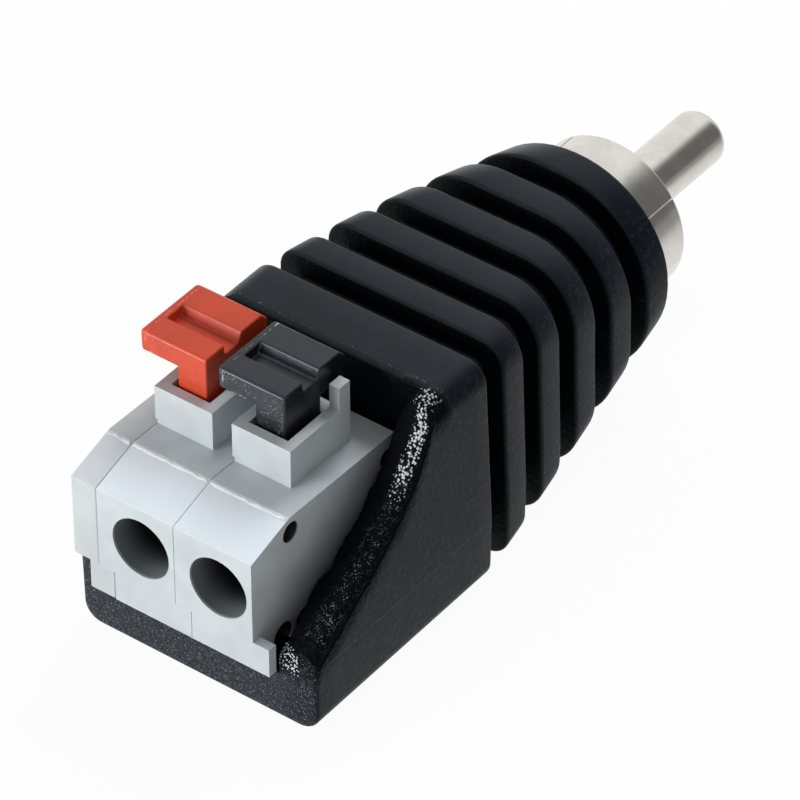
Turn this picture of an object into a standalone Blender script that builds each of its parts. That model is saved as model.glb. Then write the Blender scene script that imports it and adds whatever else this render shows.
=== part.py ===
"""Adapter from a two-pole push-button wire terminal to an RCA (phono) plug.

X runs from the wire entries towards the plug, Y across and Z up from the base.
Lengths along X are measured from the front face of the terminal.
"""
import math

import bmesh
import bpy
from mathutils import Vector

MM = 0.001

# Clearance between pieces that meet
GAP = 0.2 * MM

# Overmoulded housing: tray, block and ribbed grip
BLOCK_WIDTH = 15.4 * MM
BLOCK_HEIGHT = 14.3 * MM
BLOCK_TOP_ROUND = 1.3 * MM
BLOCK_FOOT_ROUND = 1.15 * MM
BLOCK_END_X = 15.78 * MM
SEAM_Z = 4.2 * MM
LEFT_DRAFT_ABOVE_SEAM = 0.012
RIGHT_DRAFT_ABOVE_SEAM = 0.043
DRAFT_BELOW_SEAM = 0.02
TRAY_SETBACK = 0.77 * MM
TRAY_FRONT_ROUND = 0.3 * MM
TRAY_FLOOR_Z = 3.05 * MM
TRAY_LEFT_RIM_GAP = 0.17 * MM
RIB_COUNT = 5
RIB_PITCH = 3.586 * MM
RIB_WIDTH = 2.06 * MM
RIB_EDGE = 0.15 * MM
GROOVE_DEPTH = 1.5 * MM
COLLAR_WALL = 1.43 * MM
PLUG_AXIS_RISE = 0.25 * MM
LEAST_ROUND = 0.3 * MM

# How the section turns from square to round: powers of the share of the way along the ribs.
# The right top corner, beside the shoulder, is round sooner than the left one.
WIDTH_POWER = 1.45
FOOT_RISE_POWER = 1.4
LEFT_TOP_ROUND_POWER = 2.2
RIGHT_TOP_ROUND_POWER = 1.2
RIGHT_FULL_ROUND_SHARE = 0.885
FOOT_ROUND_POWER = 1.3
COLLAR_ROUNDNESS = 0.985

# Sloping shoulder of the housing beside the terminal
SHOULDER_FRONT_RISE = 1.95 * MM
SHOULDER_SLOPE = 0.634
SHOULDER_END_MARGIN = 1.0 * MM
SHOULDER_LIFT_POWER = 6
SHOULDER_RISE_POWER = 2.6
SHOULDER_FULLNESS = 0.7
SHOULDER_INNER_RISE_START = 0.25 * MM
SHOULDER_INNER_SLOPE = 0.27
SHOULDER_INNER_RISE = 3.48 * MM
SHOULDER_RAGGED = 0.12 * MM

# Terminal modules and their end plate
MODULE_PITCH = 5.0 * MM
END_PLATE_THICKNESS = 1.63 * MM
TERMINAL_SIDE_SETBACK = 0.29 * MM
TERMINAL_DEPTH = 11.9 * MM
TERMINAL_REAR_GAP = 0.3 * MM
LUG_LENGTH = 0.58 * MM
LUG_HEIGHT = 1.82 * MM
LUG_SHIFT = 1.03 * MM
LUG_POCKET_LENGTH = 3.55 * MM
FACE_HEIGHT = 6.95 * MM
CREST_X = 3.2 * MM
CREST_RISE = 0.25 * MM
REAR_HEIGHT = 7.7 * MM
ENTRY_RADIUS = 1.83 * MM
ENTRY_HEIGHT = 4.35 * MM
ENTRY_SIDE = 2.16 * MM
CHAMBER_WALL = 0.8 * MM
CHAMBER_FLOOR = 0.28 * MM
CHAMBER_ROOF = 0.65 * MM
CHAMBER_LEAD = 1.15 * MM
CHAMBER_TRAIL = 0.55 * MM
PEG_HOLE_RADIUS = 0.62 * MM
PEG_HOLE_MARGIN = 0.65 * MM
PEG_HOLE_HEIGHT = 6.95 * MM
REAR_PEG_HOLE_RADIUS = 0.5 * MM
REAR_PEG_HOLE_MARGIN = 0.7 * MM
REAR_PEG_HOLE_HEIGHT = 6.4 * MM
PEG_HOLE_DEPTH = 0.7 * MM
SIDE_HOLE_RADIUS = 0.77 * MM
SIDE_HOLE_X = 2.5 * MM
SIDE_HOLE_HEIGHT = 0.55 * MM

# Chimney that guides each button
CHIMNEY_REAR_MARGIN = 1.9 * MM
CHIMNEY_LENGTH = 4.95 * MM
CHIMNEY_SIDE = 1.35 * MM
CHIMNEY_SPACING = 1.25 * MM
CHIMNEY_WALL = 0.62 * MM
CHIMNEY_REAR_WALL = 0.9 * MM
CHIMNEY_RISE = 2.35 * MM
CHIMNEY_REAR_NOTCH = 0.65 * MM
POST_LENGTH = 0.88 * MM
POST_WIDTH = 0.65 * MM
POST_HEIGHT = 1.41 * MM

# Push buttons
STEM_SIDE_GAP = 0.36 * MM
STEM_FAR_SIDE_GAP = 0.28 * MM
STEM_CLEARANCE = 0.2 * MM
STEM_REAR_GAP = 0.23 * MM
HEAD_LENGTH = 5.05 * MM
HEAD_SPACING = 0.71 * MM
HEAD_THICKNESS = 1.3 * MM
HEAD_ROUND = 0.22 * MM
HEAD_REAR_CHAMFER = 0.45 * MM
HEEL_DEPTH = 0.5 * MM
HEEL_RISE = 0.2 * MM
GROOVE_START = 1.55 * MM
GROOVE_LENGTH = 1.4 * MM
GROOVE_CUT = 0.62 * MM
GROOVE_END_WALL = 0.55 * MM
BUTTON_TRAVEL = 1.1 * MM
END_STOP_CLEARANCE = 0.05 * MM

# Cage spring and current bar of each pole
SPRING_THICKNESS = 0.25 * MM
SPRING_SIDE_GAP = 0.2 * MM
SPRING_FAR_SIDE_GAP = 0.7 * MM
SPRING_LOOP_RADIUS = 0.66 * MM
SPRING_LEG_MARGIN = 1.1 * MM
CAGE_CLEARANCE = 0.205 * MM
SPRING_BEND_RADIUS = 0.6 * MM
SPRING_LOOP_MARGIN = 1.65 * MM
SPRING_FOOT_MARGIN = 0.9 * MM
CAGE_LIP = 0.7 * MM
BAR_THICKNESS = 0.5 * MM
BAR_WIDTH = 1.1 * MM
BAR_MARGIN = 0.5 * MM
BAR_BEND_RADIUS = 0.5 * MM
SOLDER_PIN_MARGIN = 0.45 * MM
SOLDER_PIN_DROP = 1.75 * MM

# Contacts of the plug
SLEEVE_RADIUS = 4.7 * MM
SLEEVE_WALL = 0.5 * MM
SLEEVE_REACH = 3.47 * MM
SLEEVE_SEAT_DEPTH = 1.3 * MM
SLEEVE_NECK_STEP = 1.4 * MM
SLEEVE_NECK_LENGTH = 5.2 * MM
SLEEVE_SLITS = 4
SLIT_WIDTH = 0.2 * MM
SLIT_START = 0.3 * MM
SLIT_ANGLE = math.radians(34.6)
PIN_RADIUS = 1.65 * MM
PIN_REACH = 12.0 * MM
PIN_TIP_ROUND = 0.45 * MM
PIN_TAIL_RADIUS = 0.7 * MM
PIN_TAIL_LENGTH = 2.6 * MM
INSULATOR_LIP = 1.2 * MM
TAG_THICKNESS = 0.4 * MM
TAG_TAB_LENGTH = 2.2 * MM
TAG_TAB_WIDTH = 1.8 * MM
TAG_TAB_INSET = 0.3 * MM

# Lead wires inside the housing
WIRE_RADIUS = 0.75 * MM
WIRE_BORE_RADIUS = 0.45 * MM
CORE_RADIUS = 0.25 * MM
CORE_BARE_LENGTH = 1.9 * MM
CORE_DROP = 1.3 * MM
PASSAGE_FLOOR_GAP = 0.3 * MM
PASSAGE_SIDE_ROOM = 1.6 * MM
PASSAGE_LEAD = 1.2 * MM
PASSAGE_LEVEL_RUN = 1.8 * MM
PASSAGE_TAIL_ROOM = 2.4 * MM
PASSAGE_LIP = 0.5 * MM
PASSAGE_HEADROOM = 2.0 * MM
JOINT_OVERLAP = 1.4 * MM
LEAD_RISE_RUN = 1.2 * MM
LEAD_TAIL_ROOM = 1.6 * MM
LEAD_FIRST_RISE = 0.7 * MM
PASSAGE_REAR_ROOM = 0.4 * MM

# Depth to which joined shapes sink into each other, and reach of a cut beyond what it cuts
SINK = 0.3 * MM
REACH = 1 * MM

# Facets
CORNER_STEPS = 9
ROUND_STEPS = 48
HOLE_STEPS = 32

# Places worked out from the sizes above
COLLAR_RADIUS = SLEEVE_RADIUS + COLLAR_WALL
PLUG_AXIS_Z = BLOCK_HEIGHT / 2 + PLUG_AXIS_RISE
SLEEVE_NECK_RADIUS = SLEEVE_RADIUS - SLEEVE_NECK_STEP
COLLAR_FACE_X = BLOCK_END_X + RIB_COUNT * RIB_PITCH
PIN_TIP_X = COLLAR_FACE_X + PIN_REACH
POCKET_END_X = TERMINAL_DEPTH + TERMINAL_REAR_GAP
SHOULDER_END_X = POCKET_END_X - SHOULDER_END_MARGIN
TERMINAL_Z = TRAY_FLOOR_Z + GAP
LUG_TOP_Z = TERMINAL_Z + LUG_HEIGHT
TRAY_LEFT_RIM_Z = LUG_TOP_Z - TRAY_LEFT_RIM_GAP
CREST_Z = TERMINAL_Z + REAR_HEIGHT + CREST_RISE
SHOULDER_FRONT_Z = TRAY_FLOOR_Z + SHOULDER_FRONT_RISE
SHOULDER_INNER_START_Z = TRAY_FLOOR_Z + SHOULDER_INNER_RISE_START
END_PLATE_Y = BLOCK_WIDTH / 2 - TERMINAL_SIDE_SETBACK - END_PLATE_THICKNESS
RED_Y = END_PLATE_Y - MODULE_PITCH
BLACK_Y = RED_Y - MODULE_PITCH
MODULE_WIDTH = MODULE_PITCH - GAP
CHIMNEY_X = TERMINAL_DEPTH - CHIMNEY_REAR_MARGIN - CHIMNEY_LENGTH
CHIMNEY_WIDTH = MODULE_PITCH - CHIMNEY_SPACING
CHAMBER_X = CHIMNEY_X - CHAMBER_LEAD
CHAMBER_END_X = CHIMNEY_X + CHIMNEY_LENGTH + CHAMBER_TRAIL
CHAMBER_FLOOR_Z = LUG_TOP_Z + CHAMBER_FLOOR
CHAMBER_TOP_Z = TERMINAL_Z + REAR_HEIGHT - CHAMBER_ROOF
PEG_HOLE_X = CHAMBER_X - PEG_HOLE_MARGIN
REAR_PEG_HOLE_X = TERMINAL_DEPTH - REAR_PEG_HOLE_MARGIN
CHIMNEY_TOP_Z = CREST_Z + CHIMNEY_RISE
SHAFT_X = CHIMNEY_X + CHIMNEY_WALL
SHAFT_END_X = CHIMNEY_X + CHIMNEY_LENGTH - CHIMNEY_REAR_WALL
STEM_X = SHAFT_X + STEM_CLEARANCE
STEM_LENGTH = SHAFT_END_X - STEM_X - STEM_REAR_GAP
STEM_SIDE = CHIMNEY_SIDE + CHIMNEY_WALL + STEM_SIDE_GAP
STEM_WIDTH = CHIMNEY_WIDTH - 2 * CHIMNEY_WALL - STEM_SIDE_GAP - STEM_FAR_SIDE_GAP
HEAD_WIDTH = MODULE_PITCH - HEAD_SPACING
STEM_FOOT_Z = CHAMBER_TOP_Z
HEAD_Z = CHIMNEY_TOP_Z + BUTTON_TRAVEL + END_STOP_CLEARANCE
SPRING_WIDTH = MODULE_PITCH - CHAMBER_WALL - SPRING_SIDE_GAP - SPRING_FAR_SIDE_GAP
SPRING_LEG_X = CHAMBER_X + SPRING_LEG_MARGIN
SPRING_LOOP_X = CHAMBER_END_X - SPRING_LOOP_MARGIN
SPRING_TOP_Z = STEM_FOOT_Z - GAP - SPRING_THICKNESS / 2
SPRING_FOOT_Z = SPRING_TOP_Z - 2 * SPRING_LOOP_RADIUS
BAR_TOP_Z = SPRING_FOOT_Z - SPRING_THICKNESS / 2 - GAP
SPRING_LOW_Z = BAR_TOP_Z - BAR_THICKNESS - CAGE_CLEARANCE - CAGE_LIP
BAR_Z = BAR_TOP_Z - BAR_THICKNESS / 2
BAR_START_X = CHAMBER_X + BAR_MARGIN
SOLDER_PIN_X = CHAMBER_END_X - SOLDER_PIN_MARGIN
SLEEVE_SEAT_X = COLLAR_FACE_X - SLEEVE_SEAT_DEPTH
SLEEVE_REAR_X = SLEEVE_SEAT_X - SLEEVE_NECK_LENGTH
SLEEVE_RIM_X = COLLAR_FACE_X + SLEEVE_REACH
TAG_X = SLEEVE_REAR_X - GAP - TAG_THICKNESS
TAG_TAB_SIDE = SLEEVE_NECK_RADIUS - TAG_TAB_INSET
CORE_START_Z = TERMINAL_Z - CORE_DROP
PASSAGE_FLOOR_Z = CORE_START_Z - WIRE_RADIUS - PASSAGE_FLOOR_GAP
PASSAGE_HALF_HEIGHT = SLEEVE_NECK_RADIUS + GAP
PASSAGE_HALF_WIDTH = SLEEVE_NECK_RADIUS + PASSAGE_REAR_ROOM


def clear_scene():
    for obj in list(bpy.data.objects):
        bpy.data.objects.remove(obj)


def material(name, colour, roughness, metallic=0.0):
    mat = bpy.data.materials.new(name)
    mat.use_nodes = True
    shader = mat.node_tree.nodes["Principled BSDF"]
    shader.inputs["Base Color"].default_value = (*colour, 1.0)
    shader.inputs["Roughness"].default_value = roughness
    shader.inputs["Metallic"].default_value = metallic
    return mat


def make_object(name, bm, mat=None):
    """Closes a bmesh into an object with its faces pointing out."""
    bmesh.ops.recalc_face_normals(bm, faces=bm.faces)
    mesh = bpy.data.meshes.new(name)
    bm.to_mesh(mesh)
    bm.free()
    obj = bpy.data.objects.new(name, mesh)
    bpy.context.scene.collection.objects.link(obj)
    if mat:
        mesh.materials.append(mat)
    return obj


def boolean(obj, tool, operation):
    """Joins or cuts obj with tool, and removes the tool."""
    modifier = obj.modifiers.new(operation, "BOOLEAN")
    modifier.operation = operation
    modifier.solver = "EXACT"
    modifier.object = tool
    graph = bpy.context.evaluated_depsgraph_get()
    mesh = bpy.data.meshes.new_from_object(obj.evaluated_get(graph))
    obj.modifiers.clear()
    obj.data = mesh
    bpy.data.objects.remove(tool)


def cut(obj, *tools):
    for tool in tools:
        boolean(obj, tool, "DIFFERENCE")


def join(obj, *tools):
    for tool in tools:
        boolean(obj, tool, "UNION")


def loft(name, rings, mat=None):
    """Skins a row of rings that have equal numbers of points, and caps both ends."""
    bm = bmesh.new()
    rows = [[bm.verts.new(point) for point in ring] for ring in rings]
    count = len(rows[0])
    for row, following in zip(rows, rows[1:]):
        for index in range(count):
            after = (index + 1) % count
            bm.faces.new((row[index], row[after], following[after], following[index]))
    bm.faces.new(rows[0])
    bm.faces.new(rows[-1])
    return make_object(name, bm, mat)


def box(name, low, high, mat=None):
    corners = ((low[1], low[2]), (high[1], low[2]), (high[1], high[2]), (low[1], high[2]))
    rings = [[(x, y, z) for y, z in corners] for x in (low[0], high[0])]
    return loft(name, rings, mat)


def prism(name, outline, y_low, y_high, mat=None):
    """Extrudes an outline in X and Z along Y."""
    return loft(name, [[(x, y, z) for x, z in outline] for y in (y_low, y_high)], mat)


def arc(centre, radius, start, end, steps):
    """Points of an arc, with its angles in degrees."""
    angles = [math.radians(start + (end - start) * k / steps) for k in range(steps + 1)]
    return [(centre[0] + radius * math.cos(a), centre[1] + radius * math.sin(a)) for a in angles]


def rod(name, start, direction, length, radius, steps=HOLE_STEPS):
    """A straight round bar along X or Y."""
    rings = []
    for distance in (0.0, length):
        ring = []
        for a, b in arc((0.0, 0.0), radius, 0, 360 - 360 / steps, steps - 1):
            offset = Vector((0.0, a, b)) if direction.x else Vector((a, 0.0, b))
            ring.append(Vector(start) + direction * distance + offset)
        rings.append(ring)
    return loft(name, rings)


def turned(name, profile, mat=None):
    """Turns a closed outline of (x, radius) points about the plug's axis."""
    bm = bmesh.new()
    verts = [bm.verts.new((x, 0.0, radius)) for x, radius in profile]
    edges = [bm.edges.new((a, b)) for a, b in zip(verts, verts[1:])]
    if min(radius for _, radius in profile) > 0.0:
        edges.append(bm.edges.new((verts[-1], verts[0])))
    bmesh.ops.spin(bm, geom=verts + edges, cent=(0, 0, 0), axis=(1, 0, 0), angle=math.tau,
                   steps=ROUND_STEPS, use_merge=True)
    bmesh.ops.remove_doubles(bm, verts=bm.verts, dist=0.001 * MM)
    bmesh.ops.translate(bm, verts=bm.verts, vec=(0, 0, PLUG_AXIS_Z))
    obj = make_object(name, bm, mat)
    return obj


def strip_outline(path, thickness):
    """Outline of a bent strip of even thickness round a path in X and Z."""
    left = []
    right = []
    for index, point in enumerate(path):
        before = path[max(index - 1, 0)]
        after = path[min(index + 1, len(path) - 1)]
        along = (Vector(after) - Vector(before)).normalized()
        normal = Vector((-along.y, along.x)) * thickness / 2
        left.append(tuple(Vector(point) + normal))
        right.append(tuple(Vector(point) - normal))
    return left + right[::-1]


def morph(x):
    """0 on the block, rising to 1 at the face of the round collar."""
    return min(max((x - BLOCK_END_X) / (COLLAR_FACE_X - BLOCK_END_X), 0.0), 1.0)


def blend(start, end, share):
    return start + (end - start) * share


def housing_ring(x, inset=0.0):
    """Rounded section of the housing, from the square block to the round collar."""
    share = morph(x)
    early = 1 - (1 - share) ** WIDTH_POWER
    half = blend(BLOCK_WIDTH / 2, COLLAR_RADIUS, early) - inset
    top = blend(BLOCK_HEIGHT, PLUG_AXIS_Z + COLLAR_RADIUS, early) - inset
    bottom = blend(0.0, PLUG_AXIS_Z - COLLAR_RADIUS, share ** FOOT_RISE_POWER) + inset
    full_round = COLLAR_ROUNDNESS * COLLAR_RADIUS
    left_share = share ** LEFT_TOP_ROUND_POWER
    right_share = min(share / RIGHT_FULL_ROUND_SHARE, 1.0) ** RIGHT_TOP_ROUND_POWER
    left_round = max(blend(BLOCK_TOP_ROUND, full_round, left_share) - inset, LEAST_ROUND)
    right_round = max(blend(BLOCK_TOP_ROUND, full_round, right_share) - inset, LEAST_ROUND)
    foot_round = max(blend(BLOCK_FOOT_ROUND, full_round, share ** FOOT_ROUND_POWER) - inset, LEAST_ROUND)
    corners = ((1, top - left_round, left_round, 0), (-1, top - right_round, right_round, 90),
               (-1, bottom + foot_round, foot_round, 180), (1, bottom + foot_round, foot_round, 270))
    seam_z = min(max(SEAM_Z, bottom + foot_round), top - max(left_round, right_round))
    points = []
    for side, centre_z, radius, start in corners:
        points += arc((side * (half - radius), centre_z), radius, start, start + 90, CORNER_STEPS)
        if start in (90, 270):
            points.append((side * half, seam_z))
    ring = []
    for y, z in points:
        rise = z - SEAM_Z
        upper_draft = LEFT_DRAFT_ABOVE_SEAM if y > 0 else RIGHT_DRAFT_ABOVE_SEAM
        draft = upper_draft if rise > 0 else -DRAFT_BELOW_SEAM
        ring.append((x, y * (1 - draft * rise * (1 - share) / half), z))
    return ring


def housing_rings():
    """Sections along the tray, the block and the ribs, with a groove before each rib."""
    rings = []
    for step in range(4):
        angle = math.radians(30 * step)
        x = TRAY_SETBACK + TRAY_FRONT_ROUND * (1 - math.sin(angle))
        rings.insert(0, housing_ring(x, TRAY_FRONT_ROUND * (1 - math.cos(angle))))
    for rib in range(RIB_COUNT + 1):
        end = BLOCK_END_X + rib * RIB_PITCH
        if rib:
            start = end - RIB_WIDTH
            rings.append(housing_ring(start - (RIB_PITCH - RIB_WIDTH), GROOVE_DEPTH))
            rings.append(housing_ring(start, GROOVE_DEPTH))
            rings.append(housing_ring(start, RIB_EDGE))
            rings.append(housing_ring(start + RIB_EDGE))
        rings.append(housing_ring(end - RIB_EDGE))
        rings.append(housing_ring(end, RIB_EDGE))
    return rings


def shoulder_heights(x):
    """Height of the sloping shoulder at its outer edge and where it meets the terminal."""
    distance = x - TRAY_SETBACK
    full = SHOULDER_END_X - TRAY_SETBACK
    share = max(distance / full, 0.0)
    lift = BLOCK_HEIGHT - SHOULDER_FRONT_Z - SHOULDER_SLOPE * full
    outer = SHOULDER_FRONT_Z + SHOULDER_SLOPE * distance + lift * share ** SHOULDER_LIFT_POWER
    inner = SHOULDER_INNER_START_Z + SHOULDER_INNER_SLOPE * distance
    inner += SHOULDER_INNER_RISE * share ** SHOULDER_RISE_POWER
    ragged = math.sin(5.1 * x / MM) + 0.7 * math.sin(8.3 * x / MM + 1.0)
    return outer, inner + SHOULDER_RAGGED * ragged


def shoulder_cutter():
    """Everything above the sloping shoulder on the right of the terminal."""
    over = BLOCK_HEIGHT + 2 * REACH
    inner_y = BLACK_Y - GAP
    outer_y = -BLOCK_WIDTH / 2
    span = inner_y - outer_y
    steps = 26
    rings = []
    for step in range(steps + 1):
        x = blend(-REACH, POCKET_END_X - GAP / 10, step / steps)
        outer, inner = shoulder_heights(x)
        outer = min(outer, over - REACH)
        ring = [(x, inner_y + GAP, over), (x, outer_y - REACH, over), (x, outer_y - REACH, outer)]
        for part in range(6):
            share = 1 - part / 6
            z = blend(inner, outer, math.sin(share * math.pi / 2) ** SHOULDER_FULLNESS)
            ring.append((x, inner_y - span * share, z))
        ring.append((x, inner_y + GAP, inner))
        rings.append(ring)
    return loft("shoulder_cutter", rings)


def pocket_cutters():
    """Room for the terminal, which is open above and to the left, and for its last lug."""
    right = BLACK_Y - GAP
    foot_left = END_PLATE_Y + END_PLATE_THICKNESS - LUG_SHIFT + GAP
    high = BLOCK_HEIGHT + 5 * REACH
    section = ((right, TRAY_FLOOR_Z), (foot_left, TRAY_FLOOR_Z), (foot_left, TRAY_LEFT_RIM_Z),
               (BLOCK_WIDTH, TRAY_LEFT_RIM_Z), (BLOCK_WIDTH, high), (right, high))
    body = loft("body_pocket", [[(x, y, z) for y, z in section] for x in (-REACH, POCKET_END_X)])
    lug = box("lug_pocket", (-2 * REACH, right - LUG_SHIFT, TRAY_FLOOR_Z),
              (LUG_POCKET_LENGTH, right + SINK, LUG_TOP_Z + GAP))
    return body, lug


def passage_cutter():
    """Way for the lead wires, from under the terminal up to the back of the plug."""
    start = SOLDER_PIN_X - PASSAGE_LEAD
    rise_start = POCKET_END_X + PASSAGE_LEVEL_RUN
    rise_end = SLEEVE_REAR_X - PIN_TAIL_LENGTH - PASSAGE_TAIL_ROOM
    end = SLEEVE_REAR_X + GAP
    under_terminal = TRAY_FLOOR_Z + GAP / 2
    poles = (BLACK_Y + ENTRY_SIDE - PASSAGE_SIDE_ROOM, RED_Y + ENTRY_SIDE + PASSAGE_SIDE_ROOM)
    plug = (-PASSAGE_HALF_WIDTH, PASSAGE_HALF_WIDTH)
    low = PLUG_AXIS_Z - PASSAGE_HALF_HEIGHT
    high = PLUG_AXIS_Z + PASSAGE_HALF_HEIGHT
    stations = ((start, poles, PASSAGE_FLOOR_Z, under_terminal),
                (POCKET_END_X - PASSAGE_LIP, poles, PASSAGE_FLOOR_Z, under_terminal),
                (rise_start, poles, PASSAGE_FLOOR_Z, TRAY_FLOOR_Z + PASSAGE_HEADROOM),
                (rise_end, plug, low, high), (end, plug, low, high))
    rings = [[(x, right, z_low), (x, left, z_low), (x, left, z_high), (x, right, z_high)]
             for x, (right, left), z_low, z_high in stations]
    return loft("passage", rings)


def plug_bore_cutter():
    """Stepped bore for the sleeve and its neck."""
    wide = SLEEVE_RADIUS + GAP
    narrow = SLEEVE_NECK_RADIUS + GAP
    start = SLEEVE_REAR_X - GAP / 2
    step = SLEEVE_SEAT_X - GAP
    end = COLLAR_FACE_X + REACH
    return turned("plug_bore", [(start, 0.0), (start, narrow), (step, narrow), (step, wide),
                                (end, wide), (end, 0.0)])


def build_housing():
    mat = material("black_pvc", (0.028, 0.03, 0.033), 0.42)
    obj = loft("housing", housing_rings(), mat)
    room = shoulder_cutter()
    join(room, *pocket_cutters())
    cut(obj, room, passage_cutter(), plug_bore_cutter())
    return obj


def terminal_profile():
    """Side outline of a module: front face, sloping brow, flat top and rear."""
    return [(0.0, TERMINAL_Z), (TERMINAL_DEPTH, TERMINAL_Z), (TERMINAL_DEPTH, TERMINAL_Z + REAR_HEIGHT),
            (CREST_X, CREST_Z), (0.0, TERMINAL_Z + FACE_HEIGHT)]


def terminal_slab(name, y_low, width, notch_length, mat):
    """Slab with a lug at the front that stands out to the right, and a notch for the next lug."""
    slab = prism(name, terminal_profile(), y_low, y_low + width, mat)
    notch = box("notch", (-REACH, y_low + width - LUG_SHIFT, TERMINAL_Z - REACH),
                (notch_length, y_low + width + REACH, LUG_TOP_Z))
    cut(slab, notch)
    lug = box("lug", (0.0, y_low - LUG_SHIFT, TERMINAL_Z), (LUG_LENGTH, y_low + SINK, LUG_TOP_Z))
    join(slab, lug)
    return slab


def peg_places():
    front = (PEG_HOLE_X, TERMINAL_Z + PEG_HOLE_HEIGHT, PEG_HOLE_RADIUS)
    rear = (REAR_PEG_HOLE_X, TERMINAL_Z + REAR_PEG_HOLE_HEIGHT, REAR_PEG_HOLE_RADIUS)
    return front, rear


def cut_peg_holes(obj, y_low):
    """Blind holes in the right face, which take the pegs of the next module."""
    for x, z, radius in peg_places():
        start = (x, y_low - REACH, z)
        cut(obj, rod("hole", start, Vector((0, 1, 0)), PEG_HOLE_DEPTH + REACH, radius, 20))


def add_pegs(obj, y_face):
    """Pegs on the left face, one gap smaller all round than the holes that they enter."""
    for x, z, radius in peg_places():
        start = (x, y_face - SINK, z)
        length = SINK + PEG_HOLE_DEPTH
        join(obj, rod("peg", start, Vector((0, 1, 0)), length, radius - GAP, 16))


def add_chimney(obj, y_low, with_post):
    """Guide for the button, with a lower rear wall and, at the row's end, a corner post."""
    right = y_low + CHIMNEY_SIDE
    left = right + CHIMNEY_WIDTH
    rear = CHIMNEY_X + CHIMNEY_LENGTH
    root_z = CHAMBER_TOP_Z + SINK
    over_z = CREST_Z + GAP
    root = box("root", (CHIMNEY_X, right, root_z), (rear, y_low + MODULE_WIDTH, over_z + SINK))
    tube = box("tube", (CHIMNEY_X, right, over_z), (rear, left, CHIMNEY_TOP_Z))
    join(obj, root, tube)
    notch_right = right + POST_WIDTH
    notch = box("notch", (SHAFT_END_X - GAP, notch_right, CHIMNEY_TOP_Z - CHIMNEY_REAR_NOTCH),
                (rear + REACH, left - CHIMNEY_WALL, CHIMNEY_TOP_Z + REACH))
    cut(obj, notch)
    if with_post:
        post = box("post", (rear - POST_LENGTH, right, CHIMNEY_TOP_Z - REACH),
                   (rear, right + POST_WIDTH, CHIMNEY_TOP_Z + POST_HEIGHT))
        join(obj, post)
    shaft = box("shaft", (SHAFT_X, right + CHIMNEY_WALL, CHAMBER_TOP_Z - REACH),
                (SHAFT_END_X, left - CHIMNEY_WALL, CHIMNEY_TOP_Z + REACH))
    cut(obj, shaft)


def build_module(name, y_low, with_post, mat):
    obj = terminal_slab(name, y_low, MODULE_WIDTH, LUG_LENGTH + GAP, mat)
    chamber = box("chamber", (CHAMBER_X, y_low + CHAMBER_WALL, CHAMBER_FLOOR_Z),
                  (CHAMBER_END_X, y_low + MODULE_PITCH + REACH, CHAMBER_TOP_Z))
    cut(obj, chamber)
    add_chimney(obj, y_low, with_post)
    entry_y = y_low + ENTRY_SIDE
    entry = rod("entry", (-REACH, entry_y, TERMINAL_Z + ENTRY_HEIGHT), Vector((1, 0, 0)),
                REACH + CHAMBER_X + SINK, ENTRY_RADIUS)
    slot_half = BAR_WIDTH / 2 + GAP
    slot = box("slot", (SOLDER_PIN_X - BAR_THICKNESS / 2 - GAP, entry_y - slot_half, 0.0),
               (SOLDER_PIN_X + BAR_THICKNESS / 2 + GAP, entry_y + slot_half,
                CHAMBER_FLOOR_Z + REACH))
    side_hole = rod("side_hole", (SIDE_HOLE_X, y_low - REACH, TERMINAL_Z + SIDE_HOLE_HEIGHT),
                    Vector((0, 1, 0)), REACH + PEG_HOLE_DEPTH, SIDE_HOLE_RADIUS, 20)
    cut(obj, entry, slot, side_hole)
    cut_peg_holes(obj, y_low)
    add_pegs(obj, y_low + MODULE_WIDTH)
    return obj


def build_end_plate():
    mat = material("end_plate_grey", (0.56, 0.56, 0.53), 0.45)
    notch_length = TERMINAL_DEPTH + REACH
    obj = terminal_slab("terminal_end_plate", END_PLATE_Y, END_PLATE_THICKNESS, notch_length, mat)
    cut_peg_holes(obj, END_PLATE_Y)
    return obj


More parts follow.
